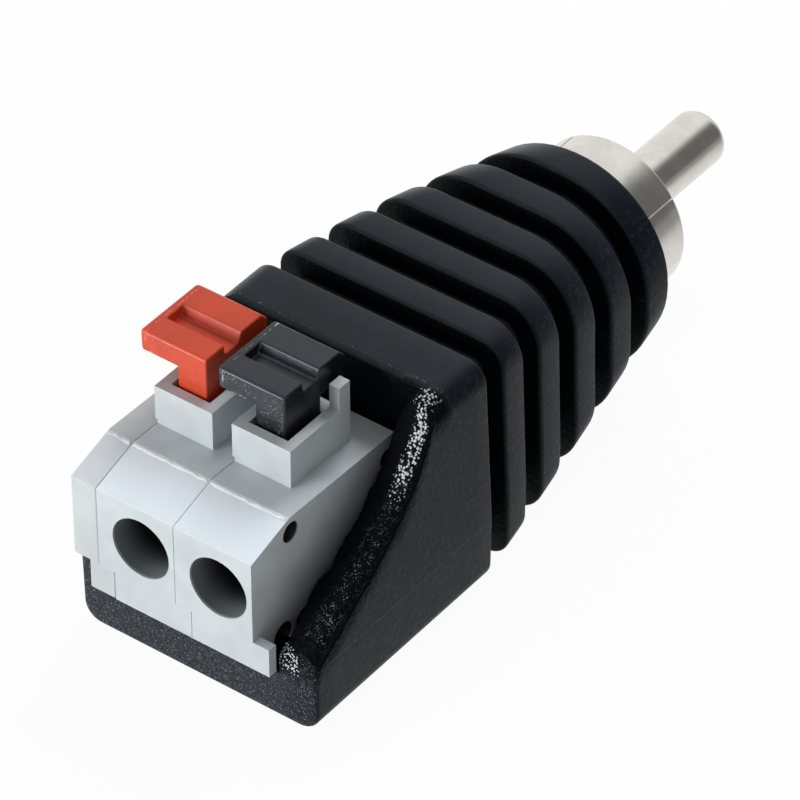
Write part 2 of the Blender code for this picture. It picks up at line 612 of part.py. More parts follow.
def build_button(name, y_low, mat):
    """Stem with a heel, under a wide head that is flush on one side; its origin is on the stem."""
    right = y_low + STEM_SIDE
    top = HEAD_Z + HEAD_THICKNESS
    rear = STEM_X + HEAD_LENGTH
    stem_end = STEM_X + STEM_LENGTH
    heel = HEAD_Z - HEEL_DEPTH
    stem_outline = [(STEM_X, STEM_FOOT_Z), (stem_end, STEM_FOOT_Z), (stem_end, heel),
                    (blend(stem_end, rear, 0.3), heel),
                    (blend(stem_end, rear, 0.75), heel + 0.4 * HEEL_RISE),
                    (rear, heel + HEEL_RISE), (rear, HEAD_Z + HEAD_THICKNESS / 2),
                    (STEM_X, HEAD_Z + HEAD_THICKNESS / 2)]
    obj = prism(name, stem_outline, right, right + STEM_WIDTH, mat)
    head_outline = [(STEM_X, HEAD_Z)]
    head_outline += [(rear, HEAD_Z), (rear, top - HEAD_REAR_CHAMFER), (rear - HEAD_REAR_CHAMFER, top)]
    head_outline += arc((STEM_X + HEAD_ROUND, top - HEAD_ROUND), HEAD_ROUND, 90, 180, 4)
    head = prism("head", head_outline, right, right + HEAD_WIDTH)
    round_head_end(head, right + HEAD_WIDTH)
    join(obj, head)
    groove_x = STEM_X + GROOVE_START
    low = top - GROOVE_CUT
    groove_outline = [(groove_x, top + REACH), (groove_x, low + 0.15 * MM), (groove_x + 0.15 * MM, low),
                      (groove_x + 0.8 * GROOVE_LENGTH, low), (groove_x + GROOVE_LENGTH, top + 0.05 * MM),
                      (groove_x + GROOVE_LENGTH, top + REACH)]
    cut(obj, prism("groove", groove_outline, right - REACH, right + HEAD_WIDTH - GROOVE_END_WALL))
    place = Vector((STEM_X + STEM_LENGTH / 2, right + STEM_WIDTH / 2, 0.0))
    for vertex in obj.data.vertices:
        vertex.co -= place
    obj.location = place
    return obj


def round_head_end(head, y_end):
    """Rounds the four edges of the head's free end."""
    bm = bmesh.new()
    bm.from_mesh(head.data)
    edges = [e for e in bm.edges if all(abs(v.co.y - y_end) < 0.001 * MM for v in e.verts)]
    bmesh.ops.bevel(bm, geom=edges, offset=HEAD_ROUND * 0.9, offset_type="OFFSET", segments=3,
                    profile=0.5, affect="EDGES", material=-1)
    bmesh.ops.recalc_face_normals(bm, faces=bm.faces)
    bm.to_mesh(head.data)
    bm.free()


def build_spring(name, y_low, mat):
    """Cage spring: foot on the bar, loop under the button, and a leg with a window."""
    foot_start = SPRING_LEG_X + SPRING_FOOT_MARGIN
    loop_z = SPRING_FOOT_Z + SPRING_LOOP_RADIUS
    path = [(foot_start, SPRING_FOOT_Z)]
    path += arc((SPRING_LOOP_X, loop_z), SPRING_LOOP_RADIUS, -90, 90, 10)
    bend = (SPRING_LEG_X + SPRING_BEND_RADIUS, SPRING_TOP_Z - SPRING_BEND_RADIUS)
    path += arc(bend, SPRING_BEND_RADIUS, 90, 180, 6)
    path.append((SPRING_LEG_X, SPRING_LOW_Z))
    right = y_low + CHAMBER_WALL + SPRING_SIDE_GAP
    obj = prism(name, strip_outline(path, SPRING_THICKNESS), right, right + SPRING_WIDTH, mat)
    half = BAR_WIDTH / 2 + GAP
    centre = y_low + ENTRY_SIDE
    window = box("window", (SPRING_LEG_X - REACH, centre - half, SPRING_LOW_Z + CAGE_LIP),
                 (SPRING_LEG_X + SPRING_THICKNESS, centre + half, bend[1] - GAP))
    cut(obj, window)
    return obj


def build_bar(name, y_low, mat):
    """Contact bar through the cage, bent down at the back into the solder pin."""
    bend = (SOLDER_PIN_X - BAR_BEND_RADIUS, BAR_Z - BAR_BEND_RADIUS)
    path = [(BAR_START_X, BAR_Z)]
    path += arc(bend, BAR_BEND_RADIUS, 90, 0, 6)
    path.append((SOLDER_PIN_X, TERMINAL_Z - SOLDER_PIN_DROP))
    centre = y_low + ENTRY_SIDE
    return prism(name, strip_outline(path, BAR_THICKNESS), centre - BAR_WIDTH / 2,
                 centre + BAR_WIDTH / 2, mat)


def build_sleeve(mat):
    """Outer contact: slit cup in front of the collar and a narrower neck inside it."""
    neck_bore = SLEEVE_NECK_RADIUS - SLEEVE_WALL
    cup_bore = SLEEVE_RADIUS - SLEEVE_WALL
    rim_round = SLEEVE_WALL * 0.4
    rim = arc((SLEEVE_RIM_X - rim_round, SLEEVE_RADIUS - rim_round), rim_round, 90, 0, 4)
    floor_x = SLEEVE_SEAT_X + SLEEVE_WALL
    profile = [(SLEEVE_REAR_X, neck_bore), (SLEEVE_REAR_X, SLEEVE_NECK_RADIUS),
               (SLEEVE_SEAT_X, SLEEVE_NECK_RADIUS), (SLEEVE_SEAT_X, SLEEVE_RADIUS)]
    profile += rim + [(SLEEVE_RIM_X, cup_bore), (floor_x, cup_bore), (floor_x, neck_bore)]
    obj = turned("rca_sleeve", profile, mat)
    for index in range(SLEEVE_SLITS):
        angle = SLIT_ANGLE + index * math.tau / SLEEVE_SLITS
        low = (COLLAR_FACE_X + SLIT_START, cup_bore - REACH, -SLIT_WIDTH / 2)
        high = (SLEEVE_RIM_X + REACH, SLEEVE_RADIUS + REACH, SLIT_WIDTH / 2)
        slit = box("slit", low, high)
        slit.rotation_euler.x = math.pi - angle
        slit.location.z = PLUG_AXIS_Z
        bpy.context.view_layer.update()
        cut(obj, slit)
    return obj


def build_pin(mat):
    tail_x = SLEEVE_REAR_X - PIN_TAIL_LENGTH
    tip = arc((PIN_TIP_X - PIN_TIP_ROUND, PIN_RADIUS - PIN_TIP_ROUND), PIN_TIP_ROUND, 90, 0, 5)
    profile = [(tail_x, 0.0), (tail_x, PIN_TAIL_RADIUS), (SLEEVE_REAR_X, PIN_TAIL_RADIUS),
               (SLEEVE_REAR_X, PIN_RADIUS)] + tip + [(PIN_TIP_X, 0.0)]
    return turned("rca_center_pin", profile, mat)


def build_insulator():
    mat = material("insulator_white", (0.75, 0.74, 0.70), 0.5)
    bore = PIN_RADIUS + GAP
    neck = SLEEVE_NECK_RADIUS - SLEEVE_WALL - GAP
    cup = SLEEVE_RADIUS - SLEEVE_WALL - GAP
    shelf_x = SLEEVE_SEAT_X + SLEEVE_WALL + GAP
    front_x = shelf_x + INSULATOR_LIP
    return turned("rca_insulator", [(SLEEVE_REAR_X, bore), (SLEEVE_REAR_X, neck), (shelf_x, neck),
                                    (shelf_x, cup), (front_x, cup), (front_x, bore)], mat)


def build_ground_tag(mat):
    """Ring behind the sleeve with a solder tab that points back."""
    obj = turned("ground_tag", [(TAG_X, PIN_RADIUS + 2 * GAP), (TAG_X, SLEEVE_NECK_RADIUS),
                                (TAG_X + TAG_THICKNESS, SLEEVE_NECK_RADIUS),
                                (TAG_X + TAG_THICKNESS, PIN_RADIUS + 2 * GAP)], mat)
    tab = box("tab", (TAG_X - TAG_TAB_LENGTH, -TAG_TAB_SIDE, PLUG_AXIS_Z - TAG_TAB_WIDTH / 2),
              (TAG_X + TAG_THICKNESS / 2, TAG_THICKNESS - TAG_TAB_SIDE, PLUG_AXIS_Z + TAG_TAB_WIDTH / 2))
    join(obj, tab)
    return obj


def smooth_route(route, steps):
    """Catmull-Rom curve through the points of a route."""
    points = [Vector(p) for p in route]
    ends = [2 * points[0] - points[1]] + points + [2 * points[-1] - points[-2]]
    curve = []
    for a, b, c, d in zip(ends, ends[1:], ends[2:], ends[3:]):
        for step in range(steps):
            t = step / steps
            curve.append(0.5 * (2 * b + (c - a) * t + (2 * a - 5 * b + 4 * c - d) * t * t
                                + (3 * b - a - 3 * c + d) * t ** 3))
    return curve + [points[-1]]


def sweep(name, curve, radius, bore=None, sides=12, mat=None):
    """Round wire along a curve, with a bore right through it if one is given."""
    bm = bmesh.new()

    def skin(size):
        rows = []
        for index, point in enumerate(curve):
            along = (curve[min(index + 1, len(curve) - 1)] - curve[max(index - 1, 0)]).normalized()
            side = Vector((0, 1, 0)) - along * along.y
            side.normalize()
            rise = along.cross(side)
            rows.append([bm.verts.new(point + side * a + rise * b)
                         for a, b in arc((0.0, 0.0), size, 0, 360 - 360 / sides, sides - 1)])
        for row, following in zip(rows, rows[1:]):
            for k in range(sides):
                after = (k + 1) % sides
                bm.faces.new((row[k], row[after], following[after], following[k]))
        return rows

    outer = skin(radius)
    if bore:
        inner = skin(bore)
        for end in (0, -1):
            for k in range(sides):
                after = (k + 1) % sides
                bm.faces.new((outer[end][k], outer[end][after], inner[end][after], inner[end][k]))
    else:
        bm.faces.new(outer[0])
        bm.faces.new(outer[-1])
    return make_object(name, bm, mat)


def build_lead(colour_name, y_low, end, jacket_mat, core_mat):
    """Insulated lead from a pole's solder pin to a contact, with bare ends."""
    start_x = SOLDER_PIN_X + BAR_THICKNESS / 2 + GAP + CORE_RADIUS
    y = y_low + ENTRY_SIDE
    rise_x = POCKET_END_X + PASSAGE_LEVEL_RUN
    far_x = SLEEVE_REAR_X - PIN_TAIL_LENGTH - LEAD_TAIL_ROOM
    route = [(start_x, y, CORE_START_Z), (start_x + JOINT_OVERLAP, y, CORE_START_Z),
             (rise_x + LEAD_RISE_RUN, blend(y, 0.0, 0.05), CORE_START_Z + LEAD_FIRST_RISE),
             (blend(rise_x, far_x, 0.55), blend(y, end[1], 0.4), blend(CORE_START_Z, end[2], 0.62)),
             (far_x, end[1], end[2]), end]
    curve = smooth_route(route, 6)
    lengths = [0.0]
    for a, b in zip(curve, curve[1:]):
        lengths.append(lengths[-1] + (b - a).length)
    total = lengths[-1]
    covered = [p for p, run in zip(curve, lengths)
               if CORE_BARE_LENGTH <= run <= total - CORE_BARE_LENGTH]
    core = sweep("wire_core_" + colour_name, curve, CORE_RADIUS, None, 8, core_mat)
    jacket = sweep("lead_wire_" + colour_name, covered, WIRE_RADIUS, WIRE_BORE_RADIUS, 12, jacket_mat)
    return core, jacket


def place_on_frame(objects):
    """Hangs every piece on one empty, so that the origin is under the middle of the part."""
    frame = bpy.data.objects.new("adapter_frame", None)
    bpy.context.scene.collection.objects.link(frame)
    frame.location = (-PIN_TIP_X / 2, 0.0, 0.0)
    for obj in objects:
        obj.parent = frame
        obj.data.set_sharp_from_angle(angle=math.radians(30))


def main():
    clear_scene()
    grey = material("terminal_grey", (0.46, 0.50, 0.53), 0.4)
    red = material("button_red", (0.62, 0.075, 0.035), 0.35)
    black = material("button_black", (0.03, 0.032, 0.035), 0.35)
    steel = material("spring_steel", (0.55, 0.55, 0.53), 0.3, 1.0)
    tin = material("tinned_copper", (0.66, 0.62, 0.56), 0.35, 1.0)
    nickel = material("nickel", (0.72, 0.69, 0.65), 0.22, 1.0)
    red_jacket = material("lead_jacket_red", (0.5, 0.03, 0.03), 0.5)
    black_jacket = material("lead_jacket_black", (0.02, 0.02, 0.02), 0.5)
    tail_x = SLEEVE_REAR_X - PIN_TAIL_LENGTH
    beside = GAP + CORE_RADIUS
    pin_joint = (tail_x + JOINT_OVERLAP, 0.0, PLUG_AXIS_Z + PIN_TAIL_RADIUS + beside)
    tab_x = TAG_X - TAG_TAB_LENGTH
    tag_joint = (tab_x + JOINT_OVERLAP, TAG_THICKNESS - TAG_TAB_SIDE + beside, PLUG_AXIS_Z)
    objects = [build_housing(), build_end_plate(), build_sleeve(nickel), build_pin(nickel),
               build_insulator(), build_ground_tag(tin)]
    poles = (("red", RED_Y, False, red, pin_joint, red_jacket),
             ("black", BLACK_Y, True, black, tag_joint, black_jacket))
    for pole, y_low, with_post, button_mat, joint, jacket_mat in poles:
        objects.append(build_module("terminal_module_" + pole, y_low, with_post, grey))
        objects.append(build_button("button_" + pole, y_low, button_mat))
        objects.append(build_spring("clamp_spring_" + pole, y_low, steel))
        objects.append(build_bar("current_bar_" + pole, y_low, tin))
        objects.extend(build_lead(pole, y_low, joint, jacket_mat, tin))
    place_on_frame(objects)


main()
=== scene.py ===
"""Looks of the adapter from a two-pole push-button wire terminal to an RCA plug."""
import math

import bmesh
import bpy
from mathutils import Matrix, Vector, noise


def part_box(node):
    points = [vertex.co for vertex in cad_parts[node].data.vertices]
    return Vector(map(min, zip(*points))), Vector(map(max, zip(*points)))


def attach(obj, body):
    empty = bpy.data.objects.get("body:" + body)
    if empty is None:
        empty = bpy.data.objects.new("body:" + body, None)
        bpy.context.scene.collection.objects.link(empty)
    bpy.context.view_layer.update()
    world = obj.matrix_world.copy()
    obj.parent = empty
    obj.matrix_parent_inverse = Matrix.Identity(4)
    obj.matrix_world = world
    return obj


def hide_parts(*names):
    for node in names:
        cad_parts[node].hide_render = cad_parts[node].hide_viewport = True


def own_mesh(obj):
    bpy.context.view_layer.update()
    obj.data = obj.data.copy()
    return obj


bl_info = {
    "name": "Wire terminal to RCA plug adapter",
    "version": (1, 0, 0),
    "blender": (4, 5, 0),
    "location": "3D View > Sidebar > Adapter",
    "description": "Builds the detailed pieces and finishes of the adapter",
    "category": "Object",
}

MM = 0.001

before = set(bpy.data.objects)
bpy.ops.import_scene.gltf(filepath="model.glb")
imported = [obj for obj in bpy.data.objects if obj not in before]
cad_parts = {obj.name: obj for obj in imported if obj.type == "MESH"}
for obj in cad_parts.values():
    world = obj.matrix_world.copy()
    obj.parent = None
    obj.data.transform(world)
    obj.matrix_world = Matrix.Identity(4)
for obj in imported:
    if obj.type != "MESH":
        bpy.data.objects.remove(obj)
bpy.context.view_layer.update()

# Places read from the frame. Lengths along X below start at the terminal's front face.
FRONT_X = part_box("terminal_module_black")[0].x
COLLAR_FACE_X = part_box("housing")[1].x - FRONT_X
PIN_TIP_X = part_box("rca_center_pin")[1].x - FRONT_X
PIN_TAIL_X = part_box("rca_center_pin")[0].x - FRONT_X
PIN_RADIUS = (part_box("rca_center_pin")[1].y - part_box("rca_center_pin")[0].y) / 2
SLEEVE_RIM_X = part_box("rca_sleeve")[1].x - FRONT_X
SLEEVE_REAR_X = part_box("rca_sleeve")[0].x - FRONT_X
SLEEVE_RADIUS = (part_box("rca_sleeve")[1].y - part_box("rca_sleeve")[0].y) / 2
PLUG_AXIS_Z = (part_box("rca_sleeve")[1].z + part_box("rca_sleeve")[0].z) / 2

# Faces of the terminal that its neighbours lie against
BLACK_SLAB_Y = -4.22 * MM
RED_SLAB_Y = 0.78 * MM
END_SLAB_Y = 5.78 * MM
SLAB_GAP = 0.2 * MM
LUG_SHIFT = 1.03 * MM
LUG_POCKET_END = 3.55 * MM
TRAY_FLOOR_Z = 3.05 * MM
CREST_X = 3.2 * MM
CREST_Z = 11.2 * MM
FACE_TOP_Z = 10.2 * MM
MODULE_PITCH = RED_SLAB_Y - BLACK_SLAB_Y
MODULE_WIDTH = MODULE_PITCH - SLAB_GAP
END_PLATE_WIDTH = 1.63 * MM
LUG_ROOM_TOP_Z = 5.27 * MM

# Wire entries, and the peg holes in the black module's side as (place, height, radius)
ENTRY_SHIFT = 2.16 * MM
ENTRY_Z = 7.6 * MM
ENTRY_RADIUS = 1.83 * MM
PEG_HOLES = ((3.25 * MM, 10.2 * MM, 0.62 * MM), (11.2 * MM, 9.65 * MM, 0.5 * MM),
             (2.5 * MM, 3.8 * MM, 0.77 * MM))

# The tray's front and the outer edge of the shoulder that rises behind it
TRAY_FRONT_X = 0.77 * MM
SHOULDER_LENGTH = 10.43 * MM
SHOULDER_START_Z = 5.0 * MM
SHOULDER_SLOPE = 0.634

# Ribs behind the plain block, the round collar among them
RIBS = 5

# How fast the block's walls lean in above its seam, and out of it below
LEFT_DRAFT = 0.012
RIGHT_DRAFT = 0.043
LOWER_DRAFT = -0.02

# Thickness of a button's head
HEAD_HEIGHT = 1.25 * MM

# The hollow for the leads and the sleeve
HOLLOW_START_X = 26.9 * MM
HOLLOW_RADIUS = 3.4 * MM
SLEEVE_ROOM_X = 32.3 * MM
SLEEVE_SEAT_X = 32.41 * MM


def length(name, about, default):
    return bpy.props.FloatProperty(name=name, description=about, default=default, min=0.0,
                                   unit="LENGTH", precision=5)


def share(name, about, default):
    return bpy.props.FloatProperty(name=name, description=about, default=default, min=0.0,
                                   max=1.0, subtype="FACTOR")


def colour(name, about, default):
    return bpy.props.FloatVectorProperty(name=name, description=about, default=default, min=0.0,
                                         max=1.0, size=3, subtype="COLOR")


class HousingSettings(bpy.types.PropertyGroup):
    block_width: length("Block width", "Width of the square end", 15.4 * MM)
    block_height: length("Block height", "Height of the square end", 14.3 * MM)
    block_end: length("Block end", "Where the plain block ends and the ribs start", 15.78 * MM)
    seam_height: length("Seam height", "Height of the moulding seam on the block", 4.2 * MM)
    rib_seam_height: length("Rib seam height", "Height of the moulding seam on the ribs", 7.55 * MM)
    rib_pitch: length("Rib pitch", "Distance from one rib to the next", 3.586 * MM)
    rib_width: length("Rib width", "Width of one rib", 2.06 * MM)
    rib_round: length("Rib edge radius", "Rounding of the ribs' edges", 0.24 * MM)
    groove_depth: length("Groove depth", "Depth of the grooves between the ribs", 1.5 * MM)
    collar_radius: length("Collar radius", "Radius of the round end", 6.13 * MM)
    pocket_end: length("Pocket end", "Where the pocket for the terminal ends", 12.2 * MM)
    flash: length("Flash", "Raggedness of the moulded lip along the terminal", 0.55 * MM)
    skin: colour("PVC", "Colour of the housing", (0.0042, 0.0076, 0.0116))
    gloss: share("PVC roughness", "Roughness of the smooth top", 0.42)


class TerminalSettings(bpy.types.PropertyGroup):
    edge: length("Edge radius", "Rounding of the moulded edges", 0.09 * MM)
    seam: length("Module seam", "Width of the line between two modules", 0.03 * MM)
    body: colour("Module grey", "Colour of the two modules", (0.50, 0.545, 0.565))
    end: colour("End plate grey", "Colour of the end plate", (0.485, 0.515, 0.53))


class ButtonSettings(bpy.types.PropertyGroup):
    edge: length("Edge radius", "Rounding of the buttons' edges", 0.16 * MM)
    travel: length("Travel", "How far a button goes down when it is pressed", 1.1 * MM)
    red: colour("Red", "Colour of the red button", (0.57, 0.052, 0.014))
    black: colour("Black", "Colour of the black button", (0.009, 0.010, 0.011))


class PlugSettings(bpy.types.PropertyGroup):
    sleeve_wall: length("Sleeve wall", "Wall of the outer contact", 0.5 * MM)
    slit_width: length("Slit width", "Width of the slits in the sleeve", 0.09 * MM)
    nickel: colour("Nickel", "Colour of the plating", (0.75, 0.725, 0.675))
    brushed: share("Nickel roughness", "Roughness of the plating", 0.2)


class StageSettings(bpy.types.PropertyGroup):
    key: bpy.props.FloatProperty(name="Overhead light", description="Power of the large light above",
                                 default=0.34, min=0.0, unit="POWER")
    front: bpy.props.FloatProperty(name="Front light", description="Power of the light at the wire entries",
                                   default=0.74, min=0.0, unit="POWER")
    room: bpy.props.FloatProperty(name="Room light", description="Strength of the even light all round",
                                  default=0.28, min=0.0)
    lens: bpy.props.FloatProperty(name="Focal length", description="Focal length of the camera",
                                  default=288.5, min=1.0, unit="CAMERA")


def shoulder_edge(house, distance, reach):
    """Height of the shoulder's outer edge, for lengths or for shader values."""
    lift = house.block_height - SHOULDER_START_Z - SHOULDER_SLOPE * SHOULDER_LENGTH
    return SHOULDER_START_Z + SHOULDER_SLOPE * distance + lift * reach ** 6


# Mesh helpers

def fresh_object(name, bm, smooth_angle=30.0):
    """Turns a bmesh into an object with its faces pointing out and soft shading."""
    mesh = bpy.data.meshes.new(name)
    bm.to_mesh(mesh)
    bm.free()
    mesh.shade_smooth()
    mesh.set_sharp_from_angle(angle=math.radians(smooth_angle))
    obj = bpy.data.objects.new(name, mesh)
    bpy.context.scene.collection.objects.link(obj)
    return obj


def flat_shaded_faces_kept(obj):
    """Lets large faces keep their flat shading beside rounded edges."""
    modifier = obj.modifiers.new("Face weight", "WEIGHTED_NORMAL")
    modifier.mode = "FACE_AREA"
    modifier.weight = 80
    modifier.keep_sharp = True


def skinned(rings):
    """A closed grid bent through rings of points, with both ends filled."""
    around = len(rings[0])
    along = len(rings) - 1
    bm = bmesh.new()
    grid = bmesh.ops.create_grid(bm, x_segments=around, y_segments=along, size=0.5)["verts"]
    for vert in grid:
        spot = round((vert.co.x + 0.5) * around) % around
        row = round((vert.co.y + 0.5) * along)
        vert.co = rings[row][spot]
    bmesh.ops.remove_doubles(bm, verts=bm.verts, dist=1e-8)
    bmesh.ops.holes_fill(bm, edges=[e for e in bm.edges if e.is_boundary], sides=0)
    bmesh.ops.recalc_face_normals(bm, faces=bm.faces)
    return bm


def block(low, high):
    bm = bmesh.new()
    bmesh.ops.create_cube(bm, size=1.0)
    middle = (Vector(low) + Vector(high)) / 2
    size = Vector(high) - Vector(low)
    bmesh.ops.scale(bm, verts=bm.verts, vec=size)
    bmesh.ops.translate(bm, verts=bm.verts, vec=middle)
    return bm


def shifted(bm):
    """Moves a bmesh from lengths that start at the terminal's front into the frame."""
    bmesh.ops.translate(bm, verts=bm.verts, vec=(FRONT_X, 0.0, 0.0))
    return bm


def combined(obj, tool_bm, operation="DIFFERENCE"):
    """Cuts obj with a shape, or joins the shape to it."""
    tool = fresh_object("tool", tool_bm)
    modifier = obj.modifiers.new(operation, "BOOLEAN")
    modifier.operation = operation
    modifier.solver = "EXACT"
    modifier.object = tool
    graph = bpy.context.evaluated_depsgraph_get()
    mesh = bpy.data.meshes.new_from_object(obj.evaluated_get(graph))
    obj.modifiers.clear()
    obj.data = mesh
    bpy.data.objects.remove(tool)


def rounded(bm, offset, segments, least_angle=32.0, keep=None):
    """Bevels every sharp edge of a bmesh, or those that keep() picks."""
    limit = math.radians(least_angle)
    edges = [e for e in bm.edges if len(e.link_faces) == 2 and e.calc_face_angle(0.0) > limit
             and (keep is None or keep(e))]
    bmesh.ops.bevel(bm, geom=edges, offset=offset, offset_type="OFFSET", segments=segments,
                    profile=0.5, affect="EDGES", material=-1, clamp_overlap=True)


def merged_copy(node):
    """A CAD node's mesh with its triangles merged into whole faces."""
    bm = bmesh.new()
    bm.from_mesh(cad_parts[node].data)
    bmesh.ops.remove_doubles(bm, verts=bm.verts, dist=1e-6)
    bmesh.ops.dissolve_limit(bm, angle_limit=math.radians(1.0), verts=bm.verts, edges=bm.edges)
    bmesh.ops.recalc_face_normals(bm, faces=bm.faces)
    return bm


def kept_inside(bm, node):
    """Brings corners that a bevel pushed out back to the node's front, rear, foot and top."""
    low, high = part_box(node)
    for vert in bm.verts:
        for axis in (0, 2):
            vert.co[axis] = min(max(vert.co[axis], low[axis]), high[axis])


def plane_moved(bm, axis, place, target):
    """Moves every corner that lies on one plane across an axis."""
    for vert in bm.verts:
        if abs(vert.co[axis] - place) < 0.01 * MM:
            vert.co[axis] = target


def arc(radius, start, end, steps):
    return [(radius * math.cos(a), radius * math.sin(a))
            for a in (math.radians(start + (end - start) * k / steps) for k in range(steps + 1))]


def revolved(profile, steps, closed):
    """Spins an outline of (x, radius) points about the plug's axis."""
    bm = bmesh.new()
    verts = [bm.verts.new((x, 0.0, radius)) for x, radius in profile]
    edges = [bm.edges.new((a, b)) for a, b in zip(verts, verts[1:])]
    if closed:
        edges.append(bm.edges.new((verts[-1], verts[0])))
    bmesh.ops.spin(bm, geom=verts + edges, cent=(0, 0, 0), axis=(1, 0, 0), angle=math.tau,
                   steps=steps, use_merge=True)
    bmesh.ops.remove_doubles(bm, verts=bm.verts, dist=1e-6)
    bmesh.ops.recalc_face_normals(bm, faces=bm.faces)
    bmesh.ops.translate(bm, verts=bm.verts, vec=(0.0, 0.0, PLUG_AXIS_Z))
    return shifted(bm)


def blended(start, end, amount):
    return start + (end - start) * amount


def worn(point, scale, seed):
    """Smooth noise between -1 and 1 at a place."""
    return noise.noise(Vector(point) * scale + Vector((seed, seed, seed)))


# Shader helpers

class Value:
    """A shader socket that takes part in arithmetic."""

    def __init__(self, nodes, socket):
        self.nodes = nodes
        self.socket = socket

    def maths(self, operation, *terms, clamp=False):
        settings = {"operation": operation, "use_clamp": clamp}
        node = self.nodes.node("ShaderNodeMath", settings, dict(enumerate(terms)))
        return Value(self.nodes, node.outputs[0])

    def __add__(self, other):
        return self.maths("ADD", self, other)

    def __sub__(self, other):
        return self.maths("SUBTRACT", self, other)

    def __rsub__(self, other):
        return self.maths("SUBTRACT", other, self)

    def __mul__(self, other):
        return self.maths("MULTIPLY", self, other)

    def __truediv__(self, other):
        return self.maths("DIVIDE", self, other)

    def __pow__(self, other):
        return self.maths("POWER", self, other)

    def __abs__(self):
        return self.maths("ABSOLUTE", self)

    __radd__ = __add__
    __rmul__ = __mul__

    def clamped(self):
        return self.maths("ADD", self, 0.0, clamp=True)

    def larger(self, other):
        return self.maths("MAXIMUM", self, other)

    def smaller(self, other):
        return self.maths("MINIMUM", self, other)

    def step(self, low, high):
        """0 below low, 1 above high and a smooth rise between them; high may be the smaller."""
        node = self.nodes.node("ShaderNodeMapRange", {"interpolation_type": "SMOOTHSTEP"},
                               {0: self, 1: low, 2: high, 3: 0.0, 4: 1.0})
        return Value(self.nodes, node.outputs[0])

    def near(self, place, reach):
        """1 at a place, falling to 0 where the value is reach away from it."""
        return (1.0 - abs(self - place) / reach).clamped()


class Nodes:
    """A node tree under construction."""

    def __init__(self, tree):
        self.tree = tree

    def node(self, kind, settings, sockets):
        """Adds a node; settings are its own, sockets take values or links."""
        node = self.tree.nodes.new(kind)
        for name, setting in settings.items():
            setattr(node, name, setting)
        for key, value in sockets.items():
            self.feed(node.inputs[key], value)
        return node

    def feed(self, socket, value):
        if isinstance(value, Value):
            value = value.socket
        if isinstance(value, bpy.types.NodeSocket):
            self.tree.links.new(value, socket)
        else:
            socket.default_value = value

    def mixed(self, mask, first, second):
        """Colour that goes from first to second with a mask."""
        node = self.node("ShaderNodeMix", {"data_type": "RGBA"}, {0: mask})
        for key, value in ((6, first), (7, second)):
            self.feed(node.inputs[key], (*value, 1.0) if isinstance(value, tuple) else value)
        return node.outputs[2]

    def rays(self):
        """Masks for what the camera sees itself, and for that with reflections and clear plastic."""
        path = self.node("ShaderNodeLightPath", {}, {})
        camera = Value(self, path.outputs["Is Camera Ray"])
        glossy = Value(self, path.outputs["Is Glossy Ray"])
        through = Value(self, path.outputs["Is Transmission Ray"])
        return camera, (camera + glossy + through).clamped()


class Finish(Nodes):
    """One material under construction."""

    def __init__(self, name, base, roughness, metallic=0.0):
        self.material = bpy.data.materials.new(name)
        self.material.use_nodes = True
        super().__init__(self.material.node_tree)
        self.shader = self.tree.nodes["Principled BSDF"]
        self.feed(self.shader.inputs["Base Color"], (*base, 1.0))
        self.feed(self.shader.inputs["Roughness"], roughness)
        self.feed(self.shader.inputs["Metallic"], metallic)
        self.place = self.node("ShaderNodeTexCoord", {}, {}).outputs["Object"]
        split = self.node("ShaderNodeSeparateXYZ", {}, {0: self.place})
        self.x, self.y, self.z = (Value(self, out) for out in split.outputs)

    def facing(self):
        """How much the surface itself, without bumps, looks along +X, +Y and +Z."""
        geometry = self.node("ShaderNodeNewGeometry", {}, {})
        split = self.node("ShaderNodeSeparateXYZ", {}, {0: geometry.outputs["True Normal"]})
        return tuple(Value(self, out) for out in split.outputs)

    def noise(self, size, detail=2.0, roughness=0.5, stretch=None):
        """Noise between 0 and 1 whose lumps are about size across."""
        place = self.place
        if stretch:
            place = self.node("ShaderNodeMapping", {}, {"Vector": place, "Scale": stretch}).outputs[0]
        node = self.node("ShaderNodeTexNoise", {}, {"Vector": place, "Scale": 1.0 / size,
                                                    "Detail": detail, "Roughness": roughness})
        return Value(self, node.outputs[0])

    def cells(self, size, feature="F1"):
        """Distance field of cells that are about size across."""
        node = self.node("ShaderNodeTexVoronoi", {"feature": feature},
                         {"Vector": self.place, "Scale": 1.0 / size})
        return Value(self, node.outputs["Distance"])

    def colour(self, value):
        self.feed(self.shader.inputs["Base Color"], value)

    def present_colour(self):
        """The colour that feeds the shader so far."""
        return self.shader.inputs["Base Color"].links[0].from_socket

    def roughness(self, value):
        self.feed(self.shader.inputs["Roughness"], value)

    def coat(self, weight, ior, roughness):
        self.feed(self.shader.inputs["Coat Weight"], weight)
        self.feed(self.shader.inputs["Coat IOR"], ior)
        self.feed(self.shader.inputs["Coat Roughness"], roughness)

    def bump(self, height, depth):
        """Bumps whose height of 1 stands for depth in metres."""
        node = self.node("ShaderNodeBump", {}, {"Height": height, "Distance": depth, "Strength": 1.0})
        self.feed(self.shader.inputs["Normal"], node.outputs[0])

    def put_on(self, obj):
        obj.data.materials.clear()
        obj.data.materials.append(self.material)


def dressed(obj, finish, body, slot, *nodes):
    """Gives a new piece its finish and its body and hides the nodes that it stands for; the slot is not
    used.
    """
    finish.put_on(obj)
    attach(obj, body)
    if nodes:
        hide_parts(*nodes)


def refinish(node, finish):
    """Gives a carried node a better finish."""
    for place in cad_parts[node].material_slots:
        place.material = finish.material


# Finishes

